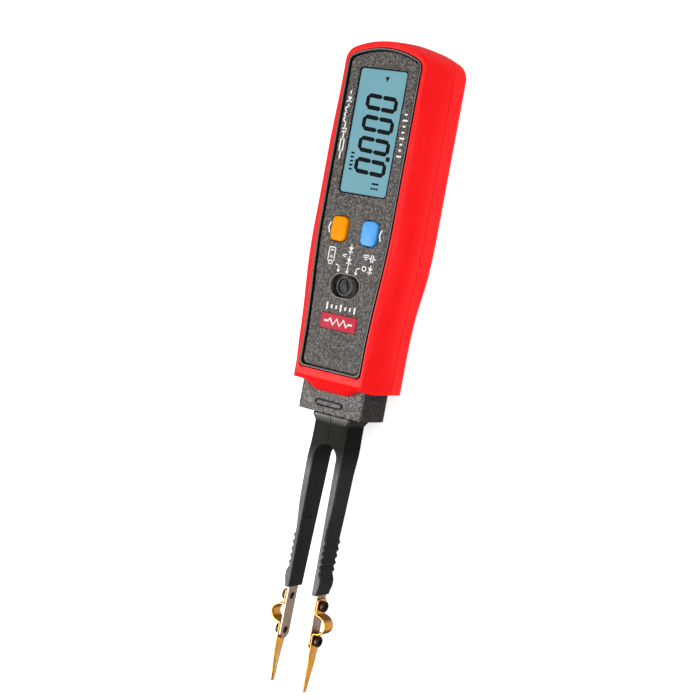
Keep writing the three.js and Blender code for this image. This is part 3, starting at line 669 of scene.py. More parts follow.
def rear_ring(z, inset, tail=TAIL_X):
    outline = housing_outline(inset, min(inset, 5), inset, tail, tail)
    return level(outline, z + back_rise(outline[:, 0]) * (1 - z / SEAM_Z))


def rear_round(steps, wall, lean, tail):
    """Rings round the edge of the flat back, from the back up, wall inside the outer face."""
    radius = 7 - wall
    shares = [i / steps for i in range(steps + 1)]
    turns = [(share, share * math.pi / 2) for share in shares]
    return [rear_ring(wall + radius * (1 - math.cos(a)),
                      lean * (1 - share) + wall + radius * (1 - math.sin(a)), tail)
            for share, a in turns]


def rear_cover():
    """The round from the flat back up to the seam, with the battery cover's channel and the cell's well."""
    tail = TAIL_X + WALL
    rings = rear_round(22, 0, 0.3, TAIL_X)
    rings += [rear_ring(z, inset) for z, inset in (
        (8.5, 0), (10, 0), (SEAM_BOTTOM - 0.08, 0), (SEAM_BOTTOM - 0.03, 0.02), (SEAM_BOTTOM, 0.08))]
    rings += [rear_ring(z, WALL, tail) for z in (SEAM_BOTTOM, 7)] + rear_round(8, WALL, 0, tail)[::-1]
    points, faces = loft(rings, caps=False)
    faces += ring_faces(0, True) + ring_faces(len(points) - len(rings[0]), False)
    clear = 0.2
    door_end, door_half, _ = box("battery_cover")[1]
    start, end, half = -TAIL_X + 9, door_end + clear, door_half - 1 + clear
    channel = plate([rounded_rect((start + end) / 2, 0, end - start, 2 * half, 1.2)], -3, 1.9, 0.01, 0)
    tools = [channel, block(start, end, -half - 1, half + 1, 0.6, 1.9)]
    for i in range(1, 5):
        low, high = box(f"case_screw_{i}")
        x, y = (low[:2] + high[:2]) / 2
        rise = back_rise(x)
        tools.append(lathe([(2.5, -2), (2.35, rise - 0.01), (2.05, rise + 0.25), (2.05, low[2] + 1.6)], 40, x,
                           y))
    cell_low, cell_high = box("coin_cell")
    x, radius = (cell_low[0] + cell_high[0]) / 2, cell_high[1] + 0.25
    well = circle(x, 0, radius, 64)
    tray = plate([rounded_rect(x + 1.75, 0, 32.5, 27.2, 1), well], 1.95, 3.6, 0.1, 1)
    wall = plate([circle(x, 0, radius + 1.35, 64), well], 3.5, cell_high[2] + 0.6, 0.15, 1)
    bore = rod(x, 0, radius, 0.5, 3.0, 64)
    return join(carved(cleaned(points, faces), *tools, bore, neck_opening()), tray, wall)


def battery_cover():
    low, high = box("battery_cover")
    x, length, half = (low[0] + high[0]) / 2, high[0] - low[0], high[1] - 1
    door = plate([rounded_rect(x, 0, length, 2 * half, 1.1)], low[2] + 0.02, high[2], 0.22, 3)
    grips = [loft([level(rounded_rect(low[0] + 3.5 + 2 * i, 0, 0.9 + 2 * out, 12 + 2 * out, 0.44 + out, 6),
                         low[2] + z)
                   for out, z in ((0.35, -0.2), (0.12, 0.06), (0, 0.2), (-0.1, 0.5))])
             for i in range(4)]
    arrow = [(high[0] - back, y) for back, y in (
        (9, 0), (6.2, 2.6), (6.2, 1.0), (3.4, 1.0), (3.4, -1.0), (6.2, -1.0), (6.2, -2.6))]
    mark = plate([rounded_path(arrow, 0.25, 4)], low[2] - 1, low[2] + 0.3, 0.01, 0)
    tongues = [block(low[0] + 1, high[0] - 1, *sorted((side * (half - 0.1), side * high[1])), 0.92, high[2])
               for side in (1, -1)]
    return join(carved(door, *grips, mark), *tongues)


def thread(start, length, pitch, first, second):
    """A screw's thread as pairs of radius and height."""
    return [pair for i in range(int(length / pitch))
            for pair in ((first, start + i * pitch), (second, start + (i + 0.5) * pitch))]


def case_screw(low, high):
    """A pan-head screw that points up, with a cross recess in its head at the bottom."""
    x, y = (low[:2] + high[:2]) / 2
    z, top = low[2], high[2]
    radius, height = 1.7, 1.3
    neck = z + height
    profile = [(radius * 0.55, z), (radius * 0.8, z + 0.06), (radius * 0.93, z + 0.2), (radius, z + 0.45),
               (radius, neck), (0.95, neck), (0.9, neck + 0.1),
               *thread(neck + 0.4, top - neck - 0.8, 0.6, 0.72, 0.9),
               (0.7, top - 0.3), (0.4, top)]
    arm, width = radius * 0.62, radius * 0.17
    quarter = np.array([(arm, -width), (arm, width), (width, width)])
    cross = np.vstack([quarter @ turn for turn in (((1, 0), (0, 1)), ((0, 1), (-1, 0)), ((-1, 0), (0, -1)),
                                                   ((0, -1), (1, 0)))])
    slot = loft([level(cross * size + (x, y), z + h) for size, h in ((1.05, -0.3), (1, 0), (0.75, 0.8))])
    return carved(lathe(profile, 32, x, y), slot)


def seam_lip():
    """A lip behind the parting line, coloured dark red as painted shade in the seam's gap."""
    rings = []
    for z, inset in ((SEAM_BOTTOM - 0.5, 0.3), (SEAM_TOP + 0.5, 0.3), (SEAM_TOP + 0.5, 1.5),
                     (SEAM_BOTTOM - 0.5, 1.5)):
        tail = TAIL_X + inset
        rings.append(level(housing_outline(inset, inset, inset, tail, tail), z))
    return loft(rings, wrap=True)


piece("front_shell", front_cover(), SHELL_RED, "shell_red", "front_cover")
piece("rear_shell", rear_cover(), SHELL_RED, "shell_red", "rear_cover")
piece("seam_lip", seam_lip(), SEAM_SHADE_RED, "shell_red")
piece("battery_door", battery_cover(), SHELL_RED, "shell_red", "battery_cover", body="battery_cover")
for i in range(1, 5):
    piece(f"rear_screw_{i}", case_screw(*box(f"case_screw_{i}")), DARK_SCREW, "dark_screw", f"case_screw_{i}")


# ---------------------------------------------------------------- panel and display

WINDOW_X, WINDOW_LENGTH, WINDOW_WIDTH = 65, 34.3, 15.5
WINDOW_TOP = box("display_window")[1][2]
GLASS_TOP = WINDOW_TOP - 0.17
button_low, (_, button_high_y, BUTTON_TOP) = box("orange_button")
BUTTON_Y = (button_low[1] + button_high_y) / 2
BUTTON_X, BUTTON_LENGTH, BUTTON_WIDTH, BUTTON_CORNER = 38.1, 6.7, 4.9, 1.5
knob_low, knob_high = box("switch_knob")
SWITCH_X = (knob_low[0] + knob_high[0]) / 2
badge_low, badge_high = box("badge_plate")
BADGE_X = (badge_low[0] + badge_high[0]) / 2
lcd_low, lcd_high = box("display_glass")


def inner_rect(x, y, length, width, radius, offset, steps):
    """A rounded rectangle pulled in by offset."""
    return rounded_rect(x, y, length - 2 * offset, width - 2 * offset, radius - offset, steps)


def window_outline(offset):
    return inner_rect(WINDOW_X, 0, WINDOW_LENGTH, WINDOW_WIDTH, max(0.3 + offset, 1.2), offset, 10)


def button_outline(side, offset):
    corner = max(0.2 + offset, BUTTON_CORNER)
    return inner_rect(BUTTON_X, side * BUTTON_Y, BUTTON_LENGTH, BUTTON_WIDTH, corner, offset, 10)


def switch_outline(offset):
    return inner_rect(SWITCH_X, 0, 6.2, 9.2, 3.08, offset, 16)


def badge_outline(offset):
    return inner_rect(BADGE_X, 0, *(badge_high - badge_low)[:2], 0.5, offset, 6)


def front_panel():
    """The sheet with its openings, the lip round the switch and the floor under the badge."""
    holes = [window_outline(-0.02), button_outline(1, -0.28), button_outline(-1, -0.28), switch_outline(0),
             badge_outline(-0.12)]
    sheet = plate([panel_outline(1.22), *holes], PANEL_LOW, PANEL_Z, 0.14)
    lip = plate([switch_outline(-0.42), switch_outline(0.02)], PANEL_Z - 0.3, PANEL_Z + 0.16, 0.14)
    pocket = plate([badge_outline(-0.5)], PANEL_LOW, badge_low[2] - 0.02, 0.02, 0)
    return join(sheet, lip, pocket)


def panel_frame():
    rim = [panel_outline(TRIM_INSET + 0.02), panel_outline(TRIM_INSET + TRIM_WIDTH + 0.12)]
    foot = [panel_outline(0.5), panel_outline(2.5)]
    return join(plate(rim, TRIM_LOW, TRIM_TOP - 0.06, 0.08), plate(foot, TRIM_LOW, PANEL_LOW - 0.3, 0.05, 1))


def display():
    length, width, _ = lcd_high - lcd_low
    glass = plate([rounded_rect(WINDOW_X, 0, length, width, 0.3)], lcd_low[2], lcd_high[2] + 0.2, 0.05, 1)
    return join(glass, plate([window_outline(0.3)], lcd_high[2], GLASS_TOP, 0.03, 1))


def digit_zero(x, y):
    """The six lit bars of a seven-segment zero that reads from the tail end, upright along y."""
    length, width, half, gap, lean = 10.2, 4.35, 0.58, 0.22, 0.6
    tip = half * 0.62
    right, top = width / 2 - half, length / 2 - half
    ends = [((-right, end), (right, end)) for end in (top, -top)]
    ends += [((side, end - top), (side, end)) for side in (-right, right) for end in (0, top)]
    bars = []
    for a, b in np.array(ends):
        along = unit(b - a)
        side = np.array([-along[1], along[0]]) * half
        a, b = a + along * gap, b - along * gap
        one_side = [a + side * 0.3 - along * 0.1, a + along * tip + side, b - along * tip + side,
                    b + side * 0.3 + along * 0.1]
        outline = one_side + [a + b - p for p in one_side]
        bars.append([(p[0] + x + lean * p[1] / length, p[1] + y) for p in outline])
    return bars


def display_digits():
    """Four zeros with a point after the first, and plain dashes, ticks and a triangle."""
    z0, z1 = GLASS_TOP, GLASS_TOP + 0.04
    digits = [rounded_path(bar, 0.1, 3) for x in (55.7, 61.45, 67.2, 72.95) for bar in digit_zero(x, -0.85)]
    point = rounded_path([(57.8, -6.55), (59.0, -6.55), (59.0, -5.35), (57.8, -5.35)], 0.2, 4)
    triangle = [(78.7, -1.3), (80.1, -1.95), (80.1, -0.65)]
    lines = [along_y(51.4, -2.3, -4.5)]
    lines += [along_y(50.1, y, y - 0.62) for y in (-2.25, -3.08, -3.9)]
    lines += [along_y(x, 4.9, 5.95) for x in (54.5, 55.6, 56.7, 57.8, 58.9)]
    return join(*[plate([outline], z0, z1, 0.005, 0) for outline in (*digits, point, triangle)],
                *[stroke(line, 0.5, z0, z1) for line in lines])


def along_x(y, x0, x1):
    return [(x0, y), (x1, y)]


def along_y(x, y0, y1):
    return [(x, y0), (x, y1)]


def symbols():
    """Plain circuit symbols, short scales and the marks of the switch's positions, as a thin print."""
    z0, z1 = PANEL_Z - 0.02, PANEL_Z + 0.025
    bold = 0.38
    parts = []

    def draw(*paths, width=0.3):
        parts.extend(stroke(path, width, z0, z1) for path in paths)

    def fill(*outlines):
        parts.append(plate(outlines, z0, z1, 0.005, 0))

    def diode(x, y, size):
        """A diode along x: a triangle, a bar, and a lead at each end."""
        def at(*points):
            return [(x + a * size, y + b * size) for a, b in points]

        fill(at((0.5, -0.62), (0.5, 0.62), (-0.5, 0)))
        draw(at((-0.55, -0.66), (-0.55, 0.66)), at((-1.15, 0), (-0.5, 0)), at((0.45, 0), (1.15, 0)))

    def waves(x, y, start, end, *radii):
        for r in radii:
            draw([(x + r * math.cos(a), y + r * math.sin(a)) for a in np.linspace(start, end, 7)], width=0.26)

    # A cell: its case, its terminal, and its plus and minus.
    draw(along_y(32.85, 5.1, 7.15), along_y(29.2, 5.1, 7.15), along_x(5.15, 29.1, 32.95),
         along_x(7.1, 29.1, 32.95))
    draw(along_x(5.55, 28.3, 29.2), along_x(6.7, 28.3, 29.2), along_y(28.35, 5.45, 6.8))
    draw(along_x(6.1, 29.75, 30.75), along_y(30.25, 5.6, 6.6), along_y(32.1, 5.65, 6.6))
    # Two diodes, one beside sound waves.
    diode(33.1, 0.15, 1.22)
    diode(29.95, 0.15, 1.22)
    waves(30.6, 1.55, -0.35, 1.25, 0.5, 1.0)
    # A capacitor, waves, a ring and a diode.
    draw(along_y(31.6, -5.95, -6.7), along_x(-6.7, 30.6, 32.6), along_x(-7.35, 30.6, 32.6),
         along_y(31.6, -7.35, -8.1), width=0.34)
    waves(30.8, -5.2, -0.5, 0.8, 0.5, 1.05, 1.6)
    fill(circle(28.65, -5.0, 0.75, 28), circle(28.65, -5.0, 0.45, 28))
    diode(28.55, -7.0, 1.15)
    # Beside the window: a resistor, a capacitor, a coil and a diode in a row, and ticks on the other side.
    y = 9.35
    draw(along_x(y, 56.8, 59.0), *[along_y(x, y - 0.55, y + 0.55) for x in (59.0, 62.2)],
         *[along_x(edge, 58.85, 62.35) for edge in (y - 0.55, y + 0.55)], along_x(y, 62.2, 64.2),
         *[along_y(x, y - 0.75, y + 0.75) for x in (64.2, 65.0)], along_x(y, 65.0, 66.8),
         *[[(67.5 + 1.4 * i - 0.7 * math.cos(a), y + 0.75 * math.sin(a)) for a in np.linspace(0, math.pi, 12)]
           for i in range(3)], along_x(y, 71.0, 72.4), along_x(y, 73.8, 75.4), width=bold)
    diode(73.1, y, 1.2)
    for i in range(8):
        reach = 0.42 if i % 3 else 0.75
        draw(along_y(59.6 + 1.6 * i, -y - reach, -y + reach), width=0.46)
    # Beside each key: a shallow roof.
    for y in (8.3, -8.3):
        draw([(36.6, y - 0.15), (38.1, y + 0.3), (39.6, y - 0.15)], width=bold)
    # Between the switch and the badge: a short scale.
    for i in range(7):
        reach = 0.5 if i % 3 else 0.95
        draw(along_x(4.55 - 1.5 * i, 17.0 - reach, 17.0 + reach), width=0.5)
    # The switch's three positions.
    for y, bend in ((3.1, 1.1), (0.2, 0), (-2.65, -1.0)):
        fill(circle(27.0, y, 0.42, 24))
        if bend:
            draw([(27.2, y), (28.25, y), (28.25, y + 0.02 * bend)],
                 [(28.15, y - 0.1 * bend), (28.5, y + bend)])
        else:
            draw(along_x(y, 27.2, 28.4))
    return join(*parts)


def badge_mark():
    """A resistor's zigzag in white."""
    x, z = BADGE_X, badge_high[2]
    path = [(x, 4.6), (x, 3.3), *((x + 0.9 * (-1) ** i, 2.75 - 1.1 * i) for i in range(6)), (x, -3.3),
            (x, -4.6)]
    return stroke(path, 0.52, z - 0.02, z + 0.03)


def button(side):
    """A moulded key: a flange, straight sides, a rounded shoulder and a slightly crowned top."""
    base = button_low[2]
    flange, shoulder, crown = base + 0.7, 0.5, 0.16
    rings = [level(button_outline(side, offset), z) for offset, z in (
        (0.6, base), (0.6, flange), (-0.8, flange + 0.02), (-0.8, flange + 0.5), (0, flange + 0.52),
        (0, PANEL_Z - 0.2))]
    rings += [level(button_outline(side, shoulder * (1 - math.cos(a))),
                    BUTTON_TOP - crown - shoulder * (1 - math.sin(a)))
                    for a in np.linspace(0, math.pi / 2, 9)]
    top = np.array(button_outline(side, shoulder))
    rings += [level(mix(top, np.array((BUTTON_X, side * BUTTON_Y)), t), BUTTON_TOP - crown * (1 - t) ** 2)
              for t in np.arange(1, 7) / 6.4]
    return cleaned(*loft(rings))


def switch_knob():
    """A round cap with a sunken top and a drop-shaped ridge, on the shutter that covers the slot."""
    top = knob_high[2]
    cap = lathe([(radius, top - drop) for radius, drop in (
        (2.0, top - 17.2), (2.65, top - 17.3), (2.65, 0.3), (2.6, 0.12), (2.48, 0.02), (2.36, 0),
        (2.22, 0.04),
        (2.12, 0.16), (2.06, 0.42), (1.96, 0.55), (0.6, 0.58), (0.15, 0.58))], 64, SWITCH_X, 0)
    turns = [(math.cos(a), math.sin(a)) for a in np.linspace(0, 2 * math.pi, 40)[:-1]]
    drop = [(SWITCH_X + 1.55 * c * (1 if c > 0 else 0.85), 0.78 * s * (1 - 0.45 * c) + 0.18 * c)
            for c, s in turns]
    shutter = plate([rounded_rect(SWITCH_X, 0, 7.2, 12.2, 1)], top - 2.4, top - 1.9, 0.1, 2)
    return join(cap, plate([drop], top - 0.8, top, 0.16, 4), shutter)


piece("panel", front_panel(), PANEL_DARK, "panel_dark", "front_panel")
piece("panel_frame", panel_frame(), TRIM_BLACK, "trim_black", "panel_trim")
# A thin pale strip on the frame's crest: a painted highlight where light catches the crest.
piece("panel_frame_painted_highlight", plate([panel_outline(TRIM_INSET + 0.04), panel_outline(TRIM_INSET + 0.27)],
                                TRIM_TOP - 0.2,
                                TRIM_TOP, 0.08), TRIM_EDGE, "trim_black")
piece("window_seal", plate([window_outline(0.02), window_outline(0.28)], PANEL_LOW, PANEL_Z - 0.03, 0.06),
      SEAL_BLACK,
      "black_plastic")
piece("window_pane", plate([window_outline(0.26)], GLASS_TOP + 0.06, WINDOW_TOP, 0.03), CLEAR, "window_clear",
      "display_window")
piece("display", display(), DISPLAY_TEAL, "display_teal", "display_glass")
piece("switch_lip", plate([switch_outline(-0.38), switch_outline(-0.14)], PANEL_Z + 0.04, PANEL_Z + 0.2,
                          0.06),
      TRIM_EDGE, "trim_black")
piece("display_digits", display_digits(), SEGMENT_INK, "dark_screw")
piece("panel_symbols", symbols(), WHITE_INK, "white_plastic")
piece("badge", plate([badge_outline(0)], badge_low[2], badge_high[2]), BADGE_RED, "badge_red", "badge_plate")
piece("badge_mark", badge_mark(), WHITE_INK, "white_plastic")
piece("key_orange", button(1), BUTTON_ORANGE, "button_orange", "orange_button", body="orange_button")
piece("key_blue", button(-1), BUTTON_BLUE, "button_blue", "blue_button", body="blue_button")
piece("knob", switch_knob(), KNOB_BLACK, "black_plastic", "switch_knob", body="switch_knob")


# ---------------------------------------------------------------- neck and fork

def neck():
    """The rounded box with its doorway for the fork, a groove along the housing's tongue and a raised bar."""
    fillet, bar_x, bar_y = 0.35, -9.6, 0.5
    rings = [neck_section(x) for x in (NECK_FRONT, 0, NECK_TAIL + 3)]
    rings += [neck_section(NECK_TAIL + fillet * (1 - math.sin(a)), -fillet * (1 - math.cos(a)))
              for a in np.linspace(0, math.pi / 2, 6)]
    doorway = np.array(rounded_rect(0, 9.45, 9.2, 7.5, 0.5, 10))
    rings += [np.column_stack([np.full(len(doorway), x), doorway]) for x in (NECK_TAIL, NECK_TAIL + 1.5)]
    rings += [neck_section(x, -1.5, 2.1) for x in (NECK_TAIL + 1.5, NECK_FRONT)]
    moat = loft([level(rounded_rect(bar_x, bar_y, 1.95 + g, 9.1 + g, 0.97 + g / 2, 12), NECK_TOP + z)
                 for z, g in ((-0.9, -0.1), (-0.06, 0), (0, 0.08), (0.6, 0.4))])
    line = [(mix(TAIL_X, TONGUE_X, smooth((10 - abs(y)) / 5.5)) - 0.95, y)
            for y in np.linspace(8.7, -8.7, 48)]
    groove = stroke(line, 0.22, NECK_TOP - 0.18, NECK_TOP + 0.5)
    bar = plate([rounded_rect(bar_x, bar_y, 1.1, 8.2, 0.54, 12)], NECK_TOP - 1.1, NECK_TOP + 0.22, 0.16, 4)
    return join(carved(cleaned(*loft(rings, wrap=True)), moat, groove), bar)


(BAR_END, _, BAR_LOW), (_, _, BAR_HIGH) = box("left_contact_bar")
BAR_Y, BAR_THICKNESS, BAR_START = 4.5, 0.7, -58.4
ARM_BACK, ARM_FRONT = 4.6, 13.7
ARM_INNER, ARM_OUTER = 3.7, 5.2
ARM_END = box("left_arm")[0][0]
ROOT_X = -13.5
HINGE_X = -20.5
ARCH_X, ARCH_RADIUS = -24.9, 3.9
SEAM_Y = 0.05
CROWN = 0.4
EDGE = 0.28
RIB_FIRST, RIB_PITCH, RIB_COUNT, RIB_HEIGHT = -46.8, 1.95, 5, 0.48


def arm_inner(x):
    return ARM_INNER + 0.22 * smooth((-22 - x) / 40)


def arm_outer(x):
    """The arm's outer face: ribs where the fingers press, and a swell at its end."""
    swell = 0.9 * smooth((-56 - x) / 2.6) - 0.55 * smooth((-59.5 - x) / 3.2)
    ribs = RIB_FIRST - RIB_PITCH * RIB_COUNT < x < RIB_FIRST
    rib = RIB_HEIGHT * math.sin((RIB_FIRST - x) / RIB_PITCH * math.pi) ** 2 if ribs else 0
    return ARM_OUTER + rib + swell - 0.1 * smooth((-30 - x) / 20)


def arch_inner(x):
    """The inner face on the way round the arch between the arms."""
    if x > ARCH_X + ARCH_RADIUS - 0.05:
        return SEAM_Y
    return arm_inner(ARCH_X) * math.sqrt(max(0, 1 - (max(0, x - ARCH_X) / ARCH_RADIUS) ** 2))


def blade_outline(outer_x):
    """Rows of x, y and edge radius: out along the outer face, round the end, and back past the arch."""
    rows = [(x, arm_outer(x), mix(0.7, mix(0.3, 0.42, smooth((-40 - x) / 7)), smooth((-17 - x) / 7)))
            for x in outer_x]
    outer, inner = arm_outer(ARM_END), arm_inner(ARM_END)
    rows += [(ARM_END + x, y, radius) for x, y, radius in (
        (0.28, outer - 0.02, 0.3), (0.08, outer - 0.14, 0.25), (0, outer - 0.34, 0.2), (0, inner + 0.3, 0.2),
        (0.1, inner + 0.08, 0.25), (0.3, inner, 0.3))]
    rows += [(x, arm_inner(x), EDGE) for x in np.arange(ARM_END + 0.8, ARCH_X - 0.3, 0.6)]
    rows += [(ARCH_X + ARCH_RADIUS * math.sin(a), max(SEAM_Y, arm_inner(ARCH_X) * math.cos(a)), EDGE)
             for a in np.linspace(0, math.pi / 2 - 0.03, 26)]
    rows += [(x, SEAM_Y, mix(0.1, EDGE, smooth((-20 - x) / 1.5)))
             for x in np.arange(ARCH_X + ARCH_RADIUS + 0.25, ROOT_X, 0.5)]
    return np.array(rows + [(ROOT_X, SEAM_Y, 0.1)])


def blade():
    """The flat of a fork half: crowned and rounded at the root, crisp along the arm."""
    outer_x = np.concatenate([np.arange(ROOT_X, RIB_FIRST, -0.6),
                              np.arange(RIB_FIRST, -56.6, -RIB_PITCH / 12),
                              np.arange(-56.8, ARM_END + 0.35, -0.3)])
    outer_count = len(outer_x)
    outline = blade_outline(outer_x)
    points, radius = outline[:, :2], outline[:, 2]
    along = unit(np.roll(points, -1, axis=0) - np.roll(points, 1, axis=0))
    out = np.column_stack([along[:, 1], -along[:, 0]])

    def ring(flat, drop, end, sign, share):
        flat = flat.copy()
        x = flat[:outer_count, 0]
        flat[:outer_count, 1] += 0.55 * smooth((x + 47) / 11) if sign < 0 else 0.35 * smooth((x + 30) / 8)
        for i in range(1, outer_count):
            x, y = flat[i]
            flat[i, 1] = mix(y, arch_inner(x) + 0.4, share * smooth((x + 34) / 5))
        crown = CROWN * (sign < 0) * smooth((flat[:, 0] + 26) / 5) * (flat[:, 1] / ARM_OUTER) ** 2
        return np.column_stack([flat, end + sign * (drop + crown)])

    rise = 2.4 * np.clip((HINGE_X - points[:, 0]) / (HINGE_X - ARM_END + 1), 0, 1)
    edge = [(points - out * (radius * (1 - math.cos(a)))[:, None], radius * (1 - math.sin(a)))
            for a in np.linspace(math.pi / 2, 0, 8)]
    rows = [(*edge[0], share) for share in (0.8, 0.6, 0.4, 0.2)] + [(*row, 0) for row in edge]
    low = [ring(flat, drop, ARM_BACK + rise, 1, share) for flat, drop, share in rows]
    high = [ring(flat, drop, ARM_FRONT, -1, share) for flat, drop, share in reversed(rows)]
    return loft(low + high)


def collar_section(x, y_out, out, outer_radius):
    z0, z1 = ARM_BACK - out, ARM_FRONT + out
    corners = [(SEAM_Y, z0, 0.1), (y_out, z0, outer_radius), (y_out, z1, outer_radius), (SEAM_Y, z1, 0.1)]
    return np.array([(x, y, z) for y, z in rounded_path(corners, 0, 6)])


def fork_half(side):
    """One half of the fork: the tang in the neck, the flared collar, the root, and the arm with its ribs."""
    socket = block(ARM_END - 1, -58.2, BAR_Y - 0.1, BAR_Y + BAR_THICKNESS + 0.1, BAR_LOW - 0.12,
                   BAR_HIGH + 0.12)
    pins = [upright(rod(x, z, 0.42, 2.5, y, 20)) for x, z, y in ((-42.7, 9.6, 4.3), (-33.4, 9.6, 4.25))]
    collar = loft([collar_section(*row) for row in (
        (-12.72, 6.24, 0.28, 0.9), (-12.78, 6.36, 0.38, 1.0), (-12.9, 6.42, 0.42, 1.0),
        (ROOT_X, 6.42, 0.42, 1.0),
        (-13.68, 6.36, 0.36, 1.0), (-14.2, 6.0, 0.2, 1.0), (-14.9, 5.58, 0.0, 0.95), (-15.4, 5.2, -0.25, 0.9),
        (-16.0, 4.8, -0.7, 0.9))])
    tang = plate([[(-12.9, 0.1), (-0.2, 0.1), (-0.2, 4.2), (-12.9, 4.2)]], 6, 12.9, 0.15, 2)
    return mirrored(join(carved(cleaned(*blade()), socket, *pins), cleaned(*collar), tang), side)


# ---------------------------------------------------------------- bars, contacts and their screws

(TIP_X, _, _), (SHEET_START, _, _) = box("left_contact_tip")
SHEET_THICKNESS = 0.45
BEND_X, BLADE_X = -63, -78.4
BUMP_X, BUMP_RADIUS, BUMP_HEIGHT = -70.75, 2.65, 3.5
TIP_Y = 5.45
SCREW_PLACES = [(sum(box(f"left_tip_screw_{i}")) / 2)[::2] for i in (1, 2)]


def bar_inner(x):
    return BAR_Y + 0.25 * np.maximum(0, (BEND_X - x) / 15)


def sheet_middle(x):
    return bar_inner(x) + BAR_THICKNESS + 0.1 + SHEET_THICKNESS / 2


def upright(shape):
    """A shape drawn in x and z with its thickness along y."""
    points = np.asarray(shape[0], float)[:, [0, 2, 1]]
    return points, [tuple(reversed(face)) for face in shape[1]]


def contact_bar(side):
    z0, z1, end, chamfer = BAR_LOW, BAR_HIGH, BAR_END, 1.1
    outline = [(BAR_START, z0, 0.2), (BEND_X, z0, 0), (end + chamfer, z0, 0.5), (end, z0 + chamfer, 0.5),
               (end, z1 - chamfer, 0.5), (end + chamfer, z1, 0.5), (BEND_X, z1, 0), (BAR_START, z1, 0.2)]
    holes = [circle(x, z, 0.95, 36) for x, z in SCREW_PLACES]
    points, faces = upright(plate([rounded_path(outline, 0, 6), *holes], 0, BAR_THICKNESS, 0.13, 3))
    points[:, 1] += bar_inner(points[:, 0])
    return mirrored((points, faces), side)


def contact_path():
    """The contact's centreline in x and y, with its corners eased, from the first screw to the tip."""
    raw = [(x, sheet_middle(x)) for x in np.linspace(SHEET_START, BUMP_X + BUMP_RADIUS, 24, endpoint=False)]
    for a in np.linspace(0, math.pi, 60):
        x = BUMP_X + BUMP_RADIUS * math.cos(a)
        raw.append((x, sheet_middle(x) + BUMP_HEIGHT * math.sin(a) ** 0.92))
    raw += [(x, sheet_middle(x)) for x in np.linspace(BUMP_X - BUMP_RADIUS, BLADE_X, 26)[1:]]
    raw += [(mix(BLADE_X, TIP_X, t), mix(sheet_middle(BLADE_X), TIP_Y, t)) for t in np.linspace(0, 1, 40)[1:]]
    raw = np.array(raw)
    run = np.concatenate([[0], np.cumsum(np.linalg.norm(np.diff(raw, axis=0), axis=1))])
    even = np.linspace(0, run[-1], 260)
    path = np.column_stack([np.interp(even, run, raw[:, i]) for i in range(2)])
    for _ in range(14):
        path[1:-1] = (path[:-2] + 2 * path[1:-1] + path[2:]) / 4
    return path


def round_off(radius, depth):
    """How much a rounded end takes off each edge, depth in from the end."""
    return radius - math.sqrt(max(0.0, radius ** 2 - max(0.0, radius - depth) ** 2))


def contact_tip(side):
    """The folded sheet: a strip with a half-round bump that narrows to a blunt tip with raised edges."""
    path = contact_path()
    tangent = unit(np.gradient(path, axis=0))
    normal = np.column_stack([tangent[:, 1], -tangent[:, 0]])
    sections = []
    for (x, y), n in zip(path, normal):
        t = np.clip((x + 78.6) / (TIP_X + 78.6), 0, 1)
        off = round_off(0.7, SHEET_START - x) + round_off(0.35, x - TIP_X)
        z0 = mix(BAR_LOW + 0.4 * smooth((-76.5 - x) / 2.2), 10.25, t) + off
        z1 = mix(BAR_HIGH, 11.6, t) - off
        middle, height = (z0 + z1) / 2, z1 - z0
        loop = np.array(rounded_rect(middle, 0, height, SHEET_THICKNESS, 0.16, 4))
        rim = np.abs(loop[:, 0] - middle) / max(0.2, height / 2)
        lift = loop[:, 1] + 0.16 * smooth((-79 - x) / 3) * rim ** 3
        sections.append(np.column_stack([x + n[0] * lift, y + n[1] * lift, loop[:, 0]]))
    holes = [upright(rod(x, z, 0.92, 4.5, 7.5, 36)) for x, z in SCREW_PLACES]
    return mirrored(carved(cleaned(*loft(sections)), *holes), side)


def hexagon(radius, steps=48):
    turns = [2 * math.pi * i / steps for i in range(steps)]
    reach = [radius / math.cos((a + math.pi / 6) % (math.pi / 3) - math.pi / 6) for a in turns]
    return [(r * math.cos(a), r * math.sin(a)) for r, a in zip(reach, turns)]


def tip_screw(low, high, side):
    """A socket-head screw that lies along y, with its head outwards."""
    x, _, z = (low + high) / 2
    radius = (high[0] - low[0]) / 2
    inner, out = sorted((abs(low[1]), abs(high[1])))
    start, seat = inner - 0.12, out - 1.1
    profile = [(0.45, start), (0.74, start + 0.03), (0.88, start + 0.18),
               *thread(start + 0.2, seat - start - 0.3, 0.36, 0.88, 0.76), (0.78, seat - 0.02),
               (radius - 0.12, seat),
               (radius, seat + 0.12), (radius, out - 0.34), (radius - 0.05, out - 0.2),
               (radius - 0.16, out - 0.09),
               (radius - 0.32, out - 0.02), (radius - 0.5, out)]
    rings = [level(circle(0, 0, r, 48), h) for r, h in profile]
    rings += [level(hexagon(r), out - h) for r, h in ((0.82, 0), (0.76, 0.06), (0.74, 0.6), (0.3, 0.72))]
    points, faces = upright(cleaned(*loft(rings)))
    return cleaned(*mirrored((points + (x, 0, z), faces), side))


piece("neck", neck(), NECK_GREY, "neck_grey", "neck_housing")
metal = []
for name, side in (("left", 1), ("right", -1)):
    body = f"{name}_arm"
    bend = [Vector((x * MM, side * 4.45 * MM, 9 * MM)) for x in (-18, -28)]
    piece(f"{name}_fork_half", fork_half(side), ARM_BLACK, "arm_black", f"{name}_arm_root", body, body=body,
          bend=bend)
    metal.append(piece(f"{name}_bar", contact_bar(side), NICKEL, "bar_nickel", f"{name}_contact_bar",
                       body=body))
    metal.append(piece(f"{name}_contact", contact_tip(side), GOLD, "tip_gold", f"{name}_contact_tip",
                       body=body))
    for i in (1, 2):
        screw = f"{name}_tip_screw_{i}"
        piece(f"{name}_screw_{i}", tip_screw(*box(screw), side), DARK_SCREW, "dark_screw", screw, body=body)


# ---------------------------------------------------------------- finishes of the pieces kept from the frame

